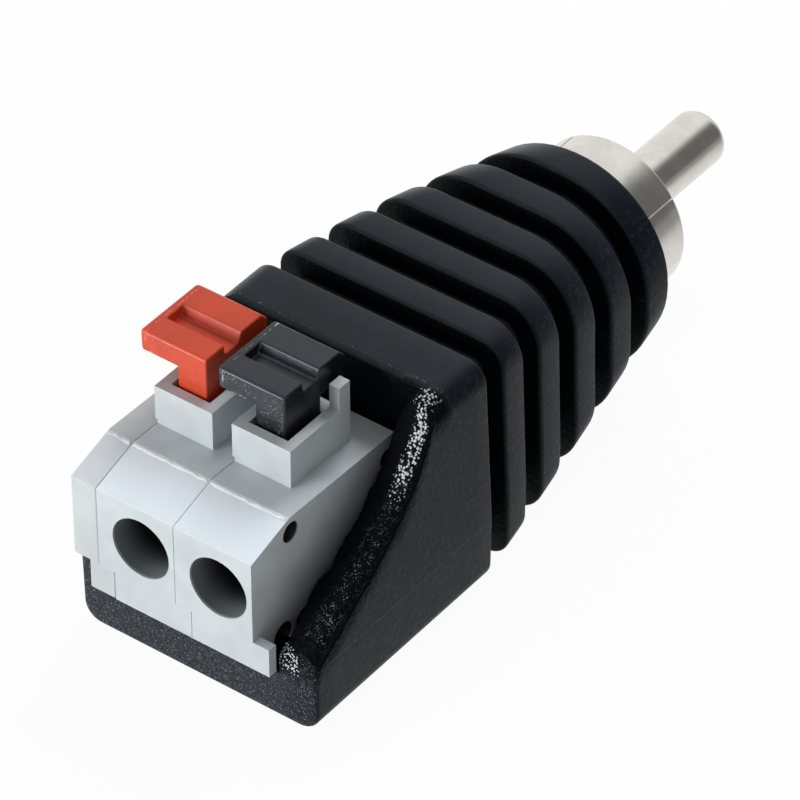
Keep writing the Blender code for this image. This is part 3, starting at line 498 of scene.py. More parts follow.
class HousingPlaces:
    """Masks between 0 and 1 for the places where the black PVC looks different."""

    def __init__(self, finish, house, spots, fine):
        forward, sideways, upward = finish.facing()
        x = finish.x - FRONT_X
        z = finish.z
        right = 0.0 - finish.y
        distance = x - TRAY_FRONT_X
        edge_z = shoulder_edge(house, distance, (distance / SHOULDER_LENGTH).clamped())
        above_edge = z - edge_z.smaller(house.block_height)

        # Large places
        self.upward = upward
        self.side = 1.0 - upward.step(0.55, 0.9)
        self.ribs = x.step(15.5 * MM, 15.9 * MM)
        self.groove = abs(forward).step(0.5, 0.9) * self.ribs
        along = right.step(4.1 * MM, 4.6 * MM) * x.step(12.9 * MM, 12.3 * MM)
        # The wall just below the shoulder's edge joins the shoulder, so the shoulder's painted shade fades
        # down onto it
        wall = along * (above_edge + 0.9 * MM * (spots - 0.5)).step(-2.4 * MM, -0.7 * MM)
        self.shoulder = wall.larger(along * upward.step(0.1, 0.3))
        self.tray_front = (0.0 - forward).step(0.6, 0.9) * x.step(1.2 * MM, 1.0 * MM)
        inside = x.step(12.5 * MM, 12.3 * MM) * right.step(5.6 * MM, 5.3 * MM)
        self.inside = inside * z.step(2.6 * MM, 3.0 * MM) * x.step(1.3 * MM, 1.8 * MM)

        # The dome at the shoulder's foot, darkened by painted shade and bright with painted glints
        dome = x.step(1.7 * MM, 1.3 * MM) * right.step(5.15 * MM, 5.3 * MM) * right.step(6.9 * MM, 6.4 * MM)
        self.dome = dome * z.step(3.0 * MM, 3.6 * MM) * z.step(5.15 * MM, 4.8 * MM)

        # The crest of the shoulder, where painted glints crowd far up and thin out lower down
        ridge = along * above_edge.step(-0.7 * MM, -0.1 * MM) * x.step(1.3 * MM, 1.7 * MM)
        far = x.step(6.0 * MM, 9.8 * MM)
        self.crowded = ridge * right.step(5.1 * MM, 6.1 * MM) * far
        self.scattered = ridge * right.step(5.7 * MM, 6.8 * MM) * (1.0 - 0.7 * far)
        rear_line = x.near(12.8 * MM, 0.13 * MM) * upward.step(0.3, 0.6) * (1.0 - along)
        self.scattered = self.scattered.larger(rear_line)

        # Moulding seams
        self.rib_seam = z.near(house.rib_seam_height, 0.09 * MM) * self.ribs * self.side
        block_seam = z.near(house.seam_height, 0.07 * MM) * self.side * (1.0 - self.ribs)
        self.block_seam = block_seam * fine.step(0.42, 0.6) * sideways.step(-0.8, -0.95)

        # The tray's front gets painted light, fading out towards its right end
        lit = 1.0 - 0.9 * right.step(5.3 * MM, 6.6 * MM)
        self.painted_front_light = self.tray_front * (1.0 - self.dome) * lit


def pvc_relief(finish, at, fine):
    """Leathery grain on the sides, coarse grain on the shoulder and a fine seam on the ribs."""
    grain = finish.cells(0.27 * MM, "SMOOTH_F1")
    peel = finish.noise(0.5 * MM, 2.0, 0.5)
    flow = finish.noise(2.6 * MM, 2.0, 0.5, (0.5, 1.0, 1.0))
    calm = grain * (0.012 + 0.014 * at.side + 0.08 * at.tray_front) + peel * at.side * 0.032
    calm = calm + fine * (0.016 + 0.014 * at.side * at.ribs) + flow * 0.02
    coarse = grain * 0.16 + fine * 0.05
    height = calm * (1.0 - at.shoulder) + coarse * at.shoulder + at.rib_seam * 0.03
    finish.bump(height, 1.0 * MM)


def pvc_glints(finish, at, patches, small):
    """Painted white glints that crowd on the dome and the upper shoulder and scatter elsewhere."""
    crowd = (at.crowded * 0.66).larger(at.dome * 0.58)
    glints = (crowd - 0.42 + 0.5 * patches - finish.cells(0.15 * MM)).step(0.0, 0.12)
    glints = glints * crowd.step(0.02, 0.2)
    return glints.larger(at.scattered * (patches * 0.75 - small - 0.13).step(0.0, 0.1) * 0.4)


def pvc_colour(finish, house, at, spots, fine):
    """Black with bluish blotches on the sides, painted shade on the shoulder, the dome, in the pocket and
    in the grooves, painted light and painted glint specks on the tray's front, and painted glints.
    """
    skin = tuple(house.skin)
    patches = finish.noise(0.5 * MM, 2.0, 0.6)
    small = finish.cells(0.1 * MM)
    tone = finish.mixed(spots.step(0.35, 0.75), skin, tuple(c * 1.5 for c in skin))
    blotches = finish.noise(0.3 * MM, 3.0, 0.65).step(0.48, 0.66) * at.side
    tone = finish.mixed(blotches, tone, tuple(c * more for c, more in zip(skin, (4.0, 2.9, 3.4))))
    # Painted shade darkens the shoulder and the wall below its edge, the dome, the pocket's inside and the
    # grooves
    painted_shade = at.shoulder.larger(at.inside).larger(at.dome).larger(at.groove).clamped()
    tone = finish.mixed(painted_shade, tone, tuple(c * 0.22 for c in skin))
    # Painted light lightens the tray's front, weaker towards its right end
    tone = finish.mixed(at.painted_front_light * (0.5 + 0.5 * fine.step(0.35, 0.65)), tone, (0.023, 0.028, 0.034))
    # Pale specks on the tray's front are painted glints; the block's seam gets a faint pale line
    glint_specks = at.tray_front * small.step(0.34, 0.14) * fine.step(0.42, 0.6) * (1.0 - at.dome)
    tone = finish.mixed(glint_specks.larger(at.block_seam * 0.2), tone, (0.34, 0.36, 0.38))
    # Painted glints go on last
    finish.colour(finish.mixed(pvc_glints(finish, at, patches, small), tone, (0.62, 0.66, 0.7)))


def pvc_finish(house):
    """Black PVC: smooth on top, leathery on the sides, coarse on the shoulder, with painted shade, painted
    light and painted glints.
    """
    finish = Finish("black PVC", house.skin, house.gloss)
    finish.shader.inputs["Specular IOR Level"].default_value = 0.05
    fine = finish.noise(0.13 * MM, 3.0, 0.6)
    spots = finish.noise(1.1 * MM, 3.0, 0.6)
    at = HousingPlaces(finish, house, spots, fine)
    pvc_relief(finish, at, fine)
    finish.roughness(house.gloss + 0.08 * at.side + 0.14 * (spots - 0.5) + 0.12 * at.shoulder)
    coat = 0.29 - 0.07 * at.ribs + (0.4 - 0.03 * at.ribs) * at.upward.step(0.5, 0.9)
    coat = coat * (1.0 - 0.97 * at.shoulder) * (1.0 - 0.5 * at.groove) * (1.0 - at.inside)
    finish.coat((coat * (1.0 - 0.7 * at.dome)).clamped(), 1.28, 0.36)
    pvc_colour(finish, house, at, spots, fine)
    return finish


def moulded_finish(name, base, roughness, grain=0.012, mottle=0.06):
    """Moulded plastic with faint flow marks and a fine grain."""
    base = tuple(base)
    finish = Finish(name, base, roughness)
    cloud = finish.noise(2.2 * MM, 3.0, 0.5)
    fine = finish.noise(0.22 * MM, 3.0, 0.55)
    pits = finish.cells(0.9 * MM).step(0.12, 0.02)
    darker = tuple(c * (1.0 - mottle) for c in base)
    lighter = tuple(min(c * (1.0 + mottle), 1.0) for c in base)
    finish.colour(finish.mixed(cloud.step(0.3, 0.7), darker, lighter))
    finish.roughness(roughness + 0.12 * (fine - 0.5) + 0.05 * pits)
    finish.bump(cloud * 0.02 + fine * grain - pits * 0.004, 0.6 * MM)
    return finish


def disc(across, rise, inner, outer):
    """1 within the inner radius and 0 past the outer one, about where both values are 0."""
    return (across * across + rise * rise).step(outer ** 2, inner ** 2)


def terminal_openings(finish, local_x):
    """Masks for painted shade on the entry bores' walls, and for darker painted shade deep in them and in
    the peg holes.
    """
    middle = BLACK_SLAB_Y + ENTRY_SHIFT + MODULE_PITCH / 2
    across = abs(finish.y - middle) - MODULE_PITCH / 2
    bore = disc(across, finish.z - ENTRY_Z, ENTRY_RADIUS + 0.03 * MM, ENTRY_RADIUS + 0.12 * MM)
    painted_deep_shade = bore * local_x.step(0.5 * MM, 2.4 * MM)
    from_side = finish.y - BLACK_SLAB_Y
    in_side = from_side.step(0.03 * MM, 0.12 * MM) * from_side.step(2.5 * MM, 2.4 * MM)
    for x, z, radius in PEG_HOLES:
        peg_hole = disc(local_x - x, finish.z - z, radius + 0.03 * MM, radius + 0.09 * MM)
        painted_deep_shade = painted_deep_shade.larger(peg_hole * in_side)
    return bore * local_x.step(0.06 * MM, 0.2 * MM), painted_deep_shade.clamped()


def terminal_finish(name, base, roughness, painted_sheen):
    """Moulded grey with a painted sheen that makes its slope paler, and painted shade inside its entry
    bores and peg holes.
    """
    finish = moulded_finish(name, base, roughness)
    local_x = finish.x - FRONT_X
    upward = finish.facing()[2]
    before_crest = local_x.step(CREST_X, CREST_X - 0.1 * MM)
    slope = before_crest * finish.z.step(FACE_TOP_Z - 0.1 * MM, FACE_TOP_Z) * upward.step(0.5, 0.9)
    finish.coat(slope, 1.6, 0.3)
    # Painted sheen: the slope's colour is lightened towards a pale blue-grey
    tone = finish.mixed(slope * painted_sheen, finish.present_colour(), (0.8, 0.88, 0.95))

    # Painted glints along the crest's flash, and pale scratches before it
    flash_glints = local_x.near(CREST_X - 0.2 * MM, 0.16 * MM) * finish.noise(0.16 * MM, 3.0, 0.6).step(0.5, 0.62)
    flash_glints = flash_glints * finish.z.step(10.8 * MM, 11.0 * MM) * finish.noise(2.0 * MM).step(0.35, 0.55)
    scratches = finish.noise(0.05 * MM, 2.0, 0.6, (1.0, 0.1, 1.0)).step(0.62, 0.7)
    scratches = scratches * finish.noise(1.3 * MM).step(0.5, 0.7) * before_crest
    scratches = scratches * local_x.step(0.3 * MM, 0.9 * MM)
    tone = finish.mixed(flash_glints.larger(scratches * 0.25), tone, (0.9, 0.93, 0.95))

    # Painted shade: the bores' walls are darkened, and their depths and the peg holes turn near black
    bore_wall_shade, painted_deep_shade = terminal_openings(finish, local_x)
    tone = finish.mixed(bore_wall_shade, tone, (0.19, 0.215, 0.22))
    finish.colour(finish.mixed(painted_deep_shade, tone, (0.008, 0.008, 0.009)))
    return finish


def button_finish(name, base, roughness, wear_and_glint_tone, specular):
    """Moulded cap with pale marks along its lower front edge and near its closed end and pale specks on its
    front, partly wear and partly painted glints.
    """
    finish = moulded_finish(name, base, roughness, 0.016, 0.08)
    finish.shader.inputs["Specular Tint"].default_value = (*specular, 1.0)
    low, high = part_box(name.replace(" ", "_"))
    from_front = finish.x - low.x
    from_end = high.y - finish.y
    from_top = high.z - finish.z
    fine = finish.noise(0.11 * MM, 3.0, 0.6)
    patch = finish.noise(0.8 * MM, 2.0, 0.5).step(0.4, 0.6)
    edge_line = abs(from_top - HEAD_HEIGHT).step(0.13 * MM, 0.05 * MM)
    lower_edge = from_front.step(0.16 * MM, 0.08 * MM) * edge_line * from_end.step(1.95 * MM, 1.8 * MM)
    end_line = abs(from_end - 0.36 * MM).step(0.07 * MM, 0.02 * MM)
    end_line = end_line * from_top.step(HEAD_HEIGHT, HEAD_HEIGHT - 0.15 * MM)
    # Pale marks along the edges and specks on the front: partly wear, partly painted glints
    wear_and_glints = (lower_edge * fine.step(0.44, 0.56)).larger(end_line * fine.step(0.46, 0.58) * 0.7)
    glint_specks = from_front.step(0.05 * MM, 0.02 * MM) * finish.cells(0.12 * MM).step(0.3, 0.12)
    wear_and_glints = wear_and_glints.larger(glint_specks * 0.7)
    finish.colour(finish.mixed(wear_and_glints * patch, finish.present_colour(), wear_and_glint_tone))
    return finish


def nickel_finish(plug):
    """Nickel plating with turning lines round the axis and faint smears."""
    finish = Finish("nickel", plug.nickel, plug.brushed, 1.0)
    lines = finish.noise(0.05 * MM, 2.0, 0.6, (1.0, 0.02, 0.02))
    smear = finish.noise(1.8 * MM, 3.0, 0.6)
    base = tuple(plug.nickel)
    stain = finish.noise(0.35 * MM, 3.0, 0.6).step(0.6, 0.75) * 0.5
    tone = finish.mixed(smear.step(0.35, 0.7), tuple(c * 0.88 for c in base), base)
    finish.colour(finish.mixed(stain * smear.step(0.6, 0.4), tone, (0.5, 0.46, 0.39)))
    finish.roughness(plug.brushed + 0.1 * (smear - 0.5) + 0.08 * (lines - 0.5))
    finish.bump(lines, 0.004 * MM)
    return finish


def metal_finish(name, base, roughness, scratch=(1.0, 0.08, 1.0)):
    """Bare sheet metal or wire with drawn scratches and a dull bloom."""
    finish = Finish(name, base, roughness, 1.0)
    drawn = finish.noise(0.06 * MM, 2.0, 0.6, scratch)
    bloom = finish.noise(0.9 * MM, 3.0, 0.6)
    finish.colour(finish.mixed(bloom.step(0.4, 0.75), tuple(c * 0.8 for c in base), tuple(base)))
    finish.roughness(roughness + 0.15 * (drawn - 0.5) + 0.15 * (bloom - 0.5))
    finish.bump(drawn, 0.006 * MM)
    return finish


# Housing

def morph(house, x):
    return min(max((x - house.block_end) / (COLLAR_FACE_X - house.block_end), 0.0), 1.0)


def housing_section(house, x, inset=0.0):
    """Rounded section from the square block to the round collar, as points of a ring."""
    amount = morph(house, x)
    # The width and the top draw in early, the underside late, and each corner rounds at its own rate
    early = 1 - (1 - amount) ** 1.45
    half = blended(house.block_width / 2, house.collar_radius, early) - inset
    top = blended(house.block_height, PLUG_AXIS_Z + house.collar_radius, early) - inset
    bottom = blended(0.0, PLUG_AXIS_Z - house.collar_radius, amount ** 1.4) + inset
    full_round = 0.985 * house.collar_radius
    left_round = max(blended(1.3 * MM, full_round, amount ** 2.2) - inset, 0.3 * MM)
    right_round = max(blended(1.3 * MM, full_round, min(amount / 0.885, 1.0) ** 1.2) - inset, 0.3 * MM)
    foot_round = max(blended(1.15 * MM, full_round, amount ** 1.3) - inset, 0.3 * MM)
    low = bottom + foot_round
    seam = min(max(house.seam_height, low), top - max(left_round, right_round))

    def corner(side, radius, centre_z, start):
        return [(side * (half - radius) + a, centre_z + b) for a, b in arc(radius, start, start + 90, 14)]

    def wall(side, high):
        heights = [blended(high, seam, k / 4) for k in range(1, 5)]
        heights += [blended(seam, low, k / 3) for k in (1, 2)]
        return [(side * half, z) for z in heights]

    points = corner(1, left_round, top - left_round, 0)
    points += [(blended(half - left_round, right_round - half, k / 8), top) for k in range(1, 8)]
    points += corner(-1, right_round, top - right_round, 90)
    points += wall(-1, top - right_round)
    points += corner(-1, foot_round, low, 180) + corner(1, foot_round, low, 270)
    points += wall(1, top - left_round)[::-1]
    ring = []
    for y, z in points:
        rise = z - house.seam_height
        draft = LOWER_DRAFT if rise < 0 else LEFT_DRAFT if y > 0 else RIGHT_DRAFT
        ring.append(Vector((x, y * (1 - draft * rise * (1 - amount) / half), z)))
    return ring


def housing_rings(house):
    """Sections along the tray, the block and the rounded ribs and grooves."""
    rings = []
    front_round = 0.3 * MM
    full_section = TRAY_FRONT_X + front_round
    for a, b in arc(front_round, 180, 90, 5):
        rings.append(housing_section(house, full_section + a, front_round - b))
    for step in range(1, 12):
        x = blended(full_section, house.block_end - house.rib_round, step / 12)
        rings.append(housing_section(house, x))
    edge = house.rib_round
    root = 0.28 * MM
    for rib in range(RIBS + 1):
        end = house.block_end + rib * house.rib_pitch
        if rib:
            start = end - house.rib_width
            groove = start - (house.rib_pitch - house.rib_width)
            depth = house.groove_depth
            rings.append(housing_section(house, groove, depth - root))
            for a, b in arc(root, 180, 270, 3)[1:]:
                rings.append(housing_section(house, groove + root + a, depth + -b - root))
            for a, b in arc(root, 270, 360, 3):
                rings.append(housing_section(house, start - root + a, depth + -b - root))
            for a, b in arc(edge, 180, 90, 4):
                rings.append(housing_section(house, start + edge + a, edge - b))
            rings.append(housing_section(house, (start + end) / 2))
        for a, b in arc(edge, 90, 0, 4):
            rings.append(housing_section(house, end - edge + a, edge - b))
    return rings


def shoulder_heights(house, x):
    """Heights of the shoulder at its outer edge and at its ragged lip on the terminal."""
    distance = x - TRAY_FRONT_X
    reach = max(distance / SHOULDER_LENGTH, 0.0)
    outer = shoulder_edge(house, distance, reach)
    inner = 3.3 * MM + 0.27 * distance + 3.48 * MM * reach ** 2.6
    ragged = worn((x, 0.0, 0.0), 900.0, 3.0) + 0.6 * worn((x, 0.0, 0.0), 2300.0, 7.0)
    return outer, inner + house.flash * ragged


def wall_y(house, z):
    """Where the block's right wall stands at a height."""
    return -(house.block_width / 2 - RIGHT_DRAFT * max(z - house.seam_height, 0.0))


def shoulder_cutter(house):
    """Everything above the rounded shoulder, from its lip to its outer edge."""
    over = house.block_height + 2 * MM
    lip_y = BLACK_SLAB_Y - 0.02 * MM
    edge = 1.0 * MM
    rings = []
    steps = 96
    parts = 17
    for step in range(steps + 1):
        x = blended(-1 * MM, house.pocket_end - 0.02 * MM, step / steps)
        outer, inner = shoulder_heights(house, x)
        outer = min(outer + 0.15 * MM, over - 1 * MM)
        wall = wall_y(house, outer)
        ring = [Vector((x, lip_y + 1 * MM, over)), Vector((x, wall - 1 * MM, over)),
                Vector((x, wall - 1 * MM, outer - edge))]
        for part in range(parts):
            amount = 1 - (part / parts) ** 1.5
            y = blended(lip_y, wall, amount)
            z = blended(inner, outer, math.sin(amount * math.pi / 2) ** 0.7)
            near = max(1 - abs(y - wall) / edge, 0.0)
            z -= edge * (1 - math.sqrt(max(1 - near * near, 0.0)))
            z += 0.05 * MM * worn((x, y, z), 1500.0, 11.0) * min(amount * 4, 1.0)
            ring.append(Vector((x, y, z)))
        ring.append(Vector((x, lip_y, inner)))
        ring.append(Vector((x, lip_y + 1 * MM, inner)))
        rings.append(ring)
    return shifted(skinned(rings))


def pocket_body(house):
    """Room for the terminal's body, whose rear wall has a worn round edge at the top."""
    low = 4.9 * MM
    high = house.block_height + 3 * MM
    left = 9 * MM
    right = BLACK_SLAB_Y - 0.03 * MM
    steps = 90
    rings = []
    for step in range(steps + 1):
        y = blended(right, left, step / steps)
        radius = 0.55 * MM + 0.06 * MM * worn((0.0, y, 0.0), 1700.0, 5.0)
        ring = [(-1 * MM, high), (-1 * MM, low), (house.pocket_end, low)]
        ring += [(house.pocket_end + radius + a, house.block_height - radius + b)
                 for a, b in arc(radius, 180, 90, 6)]
        ring += [(house.pocket_end + radius, high)]
        rings.append([Vector((x, y, z)) for x, z in ring])
    return shifted(skinned(rings))


def build_housing(house):
    bm = shifted(skinned(housing_rings(house)))
    obj = fresh_object("housing_skin", bm)
    front = -1 * MM
    lug_low = BLACK_SLAB_Y - LUG_SHIFT - 0.05 * MM
    foot_high = END_SLAB_Y + END_PLATE_WIDTH - LUG_SHIFT + 0.1 * MM
    room = fresh_object("room", shoulder_cutter(house))
    combined(room, shifted(block((front, BLACK_SLAB_Y - 0.03 * MM, TRAY_FLOOR_Z),
                                 (house.pocket_end, foot_high, LUG_ROOM_TOP_Z))), "UNION")
    combined(room, pocket_body(house), "UNION")
    combined(room, shifted(block((-2 * MM, lug_low, TRAY_FLOOR_Z),
                                 (LUG_POCKET_END, BLACK_SLAB_Y + 0.3 * MM, LUG_ROOM_TOP_Z))), "UNION")
    cutter = bmesh.new()
    cutter.from_mesh(room.data)
    bpy.data.objects.remove(room)
    combined(obj, cutter)
    past_collar = COLLAR_FACE_X + 1.3 * MM
    around_sleeve = SLEEVE_RADIUS + 0.03 * MM
    hollow = [(HOLLOW_START_X, 0.0), (HOLLOW_START_X, HOLLOW_RADIUS), (SLEEVE_ROOM_X, HOLLOW_RADIUS),
              (SLEEVE_ROOM_X, around_sleeve), (past_collar, around_sleeve), (past_collar, 0.0)]
    combined(obj, revolved(hollow, 96, False))
    bm = bmesh.new()
    bm.from_mesh(obj.data)
    bmesh.ops.dissolve_degenerate(bm, edges=bm.edges, dist=1e-6)
    bm.to_mesh(obj.data)
    bm.free()
    obj.data.shade_smooth()
    obj.data.set_sharp_from_angle(angle=math.radians(38))
    return obj


# Terminal

def crest_bead(y_low, y_high):
    """Thin raised bead along the top of the slope."""
    bm = bmesh.new()
    bmesh.ops.create_cone(bm, cap_ends=True, segments=12, radius1=0.1 * MM, radius2=0.1 * MM,
                          depth=y_high - y_low)
    bmesh.ops.scale(bm, verts=bm.verts, vec=(1.0, 0.45, 1.0))
    bmesh.ops.rotate(bm, verts=bm.verts, cent=(0, 0, 0), matrix=Matrix.Rotation(math.pi / 2, 3, "X"))
    lengthwise = [e for e in bm.edges if abs(e.verts[0].co.y - e.verts[1].co.y) > MM]
    bmesh.ops.subdivide_edges(bm, edges=lengthwise, cuts=40)
    lean = math.atan2(CREST_Z - FACE_TOP_Z, CREST_X)
    bmesh.ops.rotate(bm, verts=bm.verts, cent=(0, 0, 0), matrix=Matrix.Rotation(-lean, 3, "Y"))
    for vert in bm.verts:
        vert.co.x += 0.09 * MM * worn(vert.co, 2500.0, 1.0)
        vert.co.z += 0.05 * MM * worn(vert.co, 3000.0, 5.0)
    along = CREST_X - 0.22 * MM
    height = blended(FACE_TOP_Z, CREST_Z, along / CREST_X)
    bmesh.ops.translate(bm, verts=bm.verts, vec=(along, (y_low + y_high) / 2, height + 0.01 * MM))
    return shifted(bm)


def joined_mesh(first, second):
    """Adds the faces of a second bmesh to the first."""
    mesh = bpy.data.meshes.new("joined")
    second.to_mesh(mesh)
    second.free()
    first.from_mesh(mesh)
    bpy.data.meshes.remove(mesh)


def build_slab(node, name, y_low, width, terminal):
    """A module or the end plate with rounded edges, closed up against its neighbours."""
    bm = merged_copy(node)
    left = y_low + width
    if node != "terminal_end_plate":
        plane_moved(bm, 1, left, left + SLAB_GAP - terminal.seam)
        plane_moved(bm, 1, left - LUG_SHIFT, left - LUG_SHIFT + SLAB_GAP - terminal.seam)
        left += SLAB_GAP - terminal.seam
    else:
        rounded(bm, 2 * terminal.edge, 3, keep=lambda e: min(v.co.z for v in e.verts) > 5.6 * MM)
    rounded(bm, terminal.edge, 2)
    kept_inside(bm, node)
    joined_mesh(bm, crest_bead(y_low + 0.1 * MM, left - 0.1 * MM))
    obj = fresh_object(name, bm)
    flat_shaded_faces_kept(obj)
    return obj


# Buttons

def build_button(node, name, button):
    bm = merged_copy(node)
    closed_end = max(v.co.y for v in bm.verts)
    rounded(bm, 0.34 * MM, 1, keep=lambda e: min(v.co.y for v in e.verts) > closed_end - 0.01 * MM)
    rounded(bm, button.edge, 3)
    kept_inside(bm, node)
    obj = fresh_object(name, bm)
    flat_shaded_faces_kept(obj)
    return obj


def build_spring(pole, finish):
    """A clamp spring copied from its node, with a mesh of its own."""
    node = "clamp_spring_" + pole
    obj = fresh_object("spring_strip_" + pole, merged_copy(node))
    dressed(obj, finish, "adapter", "spring_steel", node)
    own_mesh(obj)


# Plug

def build_sleeve(plug):
    outer = SLEEVE_RADIUS
    cup = outer - plug.sleeve_wall
    neck = HOLLOW_RADIUS - 0.1 * MM
    neck_bore = neck - plug.sleeve_wall
    seat = SLEEVE_SEAT_X
    lip = 0.2 * MM
    rim = [(SLEEVE_RIM_X - lip + a, outer - lip + b) for a, b in arc(lip, 90, 0, 6)]
    inner = [(SLEEVE_RIM_X - 0.12 * MM + a, cup + 0.12 * MM + b) for a, b in arc(0.12 * MM, 0, -90, 3)]
    profile = [(SLEEVE_REAR_X, neck_bore), (SLEEVE_REAR_X, neck), (seat, neck), (seat, outer)]
    profile += [(blended(seat, SLEEVE_RIM_X - lip, k / 5), outer) for k in range(1, 5)]
    profile += rim + inner + [(seat + plug.sleeve_wall, cup), (seat + plug.sleeve_wall, neck_bore)]
    obj = fresh_object("sleeve_shell", revolved(profile, 144, True))
    for index in range(4):
        slit = block((COLLAR_FACE_X + 0.3 * MM, cup - 1 * MM, -plug.slit_width / 2),
                     (SLEEVE_RIM_X + 1 * MM, outer + 1 * MM, plug.slit_width / 2))
        turn = math.pi - math.radians(34.6) - index * math.tau / 4
        bmesh.ops.rotate(slit, verts=slit.verts, cent=(0, 0, 0), matrix=Matrix.Rotation(turn, 3, "X"))
        bmesh.ops.translate(slit, verts=slit.verts, vec=(0.0, 0.0, PLUG_AXIS_Z))
        combined(obj, shifted(slit))
    obj.data.shade_smooth()
    obj.data.set_sharp_from_angle(angle=math.radians(35))
    return obj


def build_pin():
    tip = 0.7 * MM
    rounding = [(PIN_TIP_X - tip + a, PIN_RADIUS - tip + b) for a, b in arc(tip, 90, 0, 10)]
    tail = 0.7 * MM
    profile = [(PIN_TAIL_X, 0.0), (PIN_TAIL_X, tail), (SLEEVE_REAR_X, tail), (SLEEVE_REAR_X, PIN_RADIUS)]
    profile += [(blended(SLEEVE_REAR_X, PIN_TIP_X - tip, k / 8), PIN_RADIUS) for k in range(1, 8)]
    profile += rounding + [(PIN_TIP_X, 0.0)]
    return fresh_object("pin_solid", revolved(profile, 96, False))


# Operators

class ADAPTER_OT_housing(bpy.types.Operator):
    """Model the ribbed housing with its sloping shoulder"""
    bl_idname = "adapter.housing"
    bl_label = "Housing"

    def execute(self, context):
        house = context.scene.adapter_housing
        dressed(build_housing(house), pvc_finish(house), "adapter", "black_pvc", "housing")
        return {"FINISHED"}


class ADAPTER_OT_terminal(bpy.types.Operator):
    """Model the two grey modules and the end plate"""
    bl_idname = "adapter.terminal"
    bl_label = "Terminal"

    def execute(self, context):
        terminal = context.scene.adapter_terminal
        grey = terminal_finish("terminal grey", terminal.body, 0.42, 1.0)
        pale = terminal_finish("end plate grey", terminal.end, 0.4, 0.4)
        for pole, y_low in (("red", RED_SLAB_Y), ("black", BLACK_SLAB_Y)):
            node = "terminal_module_" + pole
            obj = build_slab(node, "module_body_" + pole, y_low, MODULE_WIDTH, terminal)
            dressed(obj, grey, "adapter", "terminal_grey", node)
        obj = build_slab("terminal_end_plate", "end_plate_body", END_SLAB_Y, END_PLATE_WIDTH, terminal)
        dressed(obj, pale, "adapter", "end_plate_grey", "terminal_end_plate")
        return {"FINISHED"}


class ADAPTER_OT_buttons(bpy.types.Operator):
    """Model the red and the black push button"""
    bl_idname = "adapter.buttons"
    bl_label = "Buttons"

    def execute(self, context):
        button = context.scene.adapter_button
        # Each button's pale tone is for wear and painted glints
        for pole, base, roughness, wear_and_glints, specular in (
                ("red", button.red, 0.4, (0.85, 0.3, 0.2), (1.0, 1.0, 1.0)),
                ("black", button.black, 0.3, (0.6, 0.62, 0.64), (0.8, 0.9, 1.0))):
            finish = button_finish("button " + pole, base, roughness, wear_and_glints, specular)
            obj = build_button("button_" + pole, "button_cap_" + pole, button)
            dressed(obj, finish, pole + "_push_button", "button_" + pole, "button_" + pole)
        return {"FINISHED"}


class ADAPTER_OT_plug(bpy.types.Operator):
    """Model the slit sleeve and the centre pin"""
    bl_idname = "adapter.plug"
    bl_label = "Plug contacts"

    def execute(self, context):
        plug = context.scene.adapter_plug
        nickel = nickel_finish(plug)
        dressed(build_sleeve(plug), nickel, "adapter", "nickel", "rca_sleeve")
        dressed(build_pin(), nickel, "adapter", "nickel", "rca_center_pin")
        return {"FINISHED"}


class ADAPTER_OT_inner_pieces(bpy.types.Operator):
    """Give the springs, bars, leads and insulator their finishes"""
    bl_idname = "adapter.inner_pieces"
    bl_label = "Inner pieces"

    def execute(self, context):
        steel = metal_finish("spring steel", (0.55, 0.55, 0.53), 0.3)
        tin = metal_finish("tinned copper", (0.66, 0.62, 0.56), 0.35, (0.1, 1.0, 1.0))
        white = moulded_finish("insulator white", (0.75, 0.74, 0.70), 0.45)
        for pole, jacket in (("red", (0.5, 0.03, 0.03)), ("black", (0.02, 0.02, 0.02))):
            build_spring(pole, steel)
            refinish("current_bar_" + pole, tin)
            refinish("wire_core_" + pole, tin)
            refinish("lead_wire_" + pole, moulded_finish("lead jacket " + pole, jacket, 0.5))
        refinish("ground_tag", tin)
        refinish("rca_insulator", white)
        return {"FINISHED"}


class ADAPTER_OT_stage(bpy.types.Operator):
    """Set the floor, the lights and the camera"""
    bl_idname = "adapter.stage"
    bl_label = "Stage"

    def execute(self, context):
        stage = context.scene.adapter_stage
        context.scene.view_settings.view_transform = "Standard"
        place_floor()
        place_room(context, stage)
        lamp = place_lamp("overhead", stage.key, 0.09, (0.15, 0.035, 0.19))
        lamp.visible_glossy = False
        place_lamp("front", stage.front, 0.16, (-0.235, 0.115, 0.05))
        place_camera(context, stage)
        return {"FINISHED"}


# Stage

def place_floor():
    """A pale floor, white where the camera or a reflection sees it, but dimmer low on the right."""
    bm = bmesh.new()
    bmesh.ops.create_grid(bm, x_segments=1, y_segments=1, size=1.5)
    floor = fresh_object("floor", bm)
    finish = Finish("floor white", (0.9, 0.9, 0.9), 0.9)
    camera, seen = finish.rays()
    low_right = (0.62 * finish.x - 0.78 * finish.y).step(0.012, 0.06) * (1.0 - camera)
    tone = finish.mixed(low_right * 0.7, (1.0, 1.0, 1.0), (0.05, 0.05, 0.05))
    white = finish.node("ShaderNodeEmission", {}, {"Color": tone, "Strength": 1.0})
    shaded = finish.node("ShaderNodeMixShader", {},
                         {0: seen * 0.95, 1: finish.shader.outputs[0], 2: white.outputs[0]})
    finish.feed(finish.tree.nodes["Material Output"].inputs["Surface"], shaded.outputs[0])
    finish.put_on(floor)


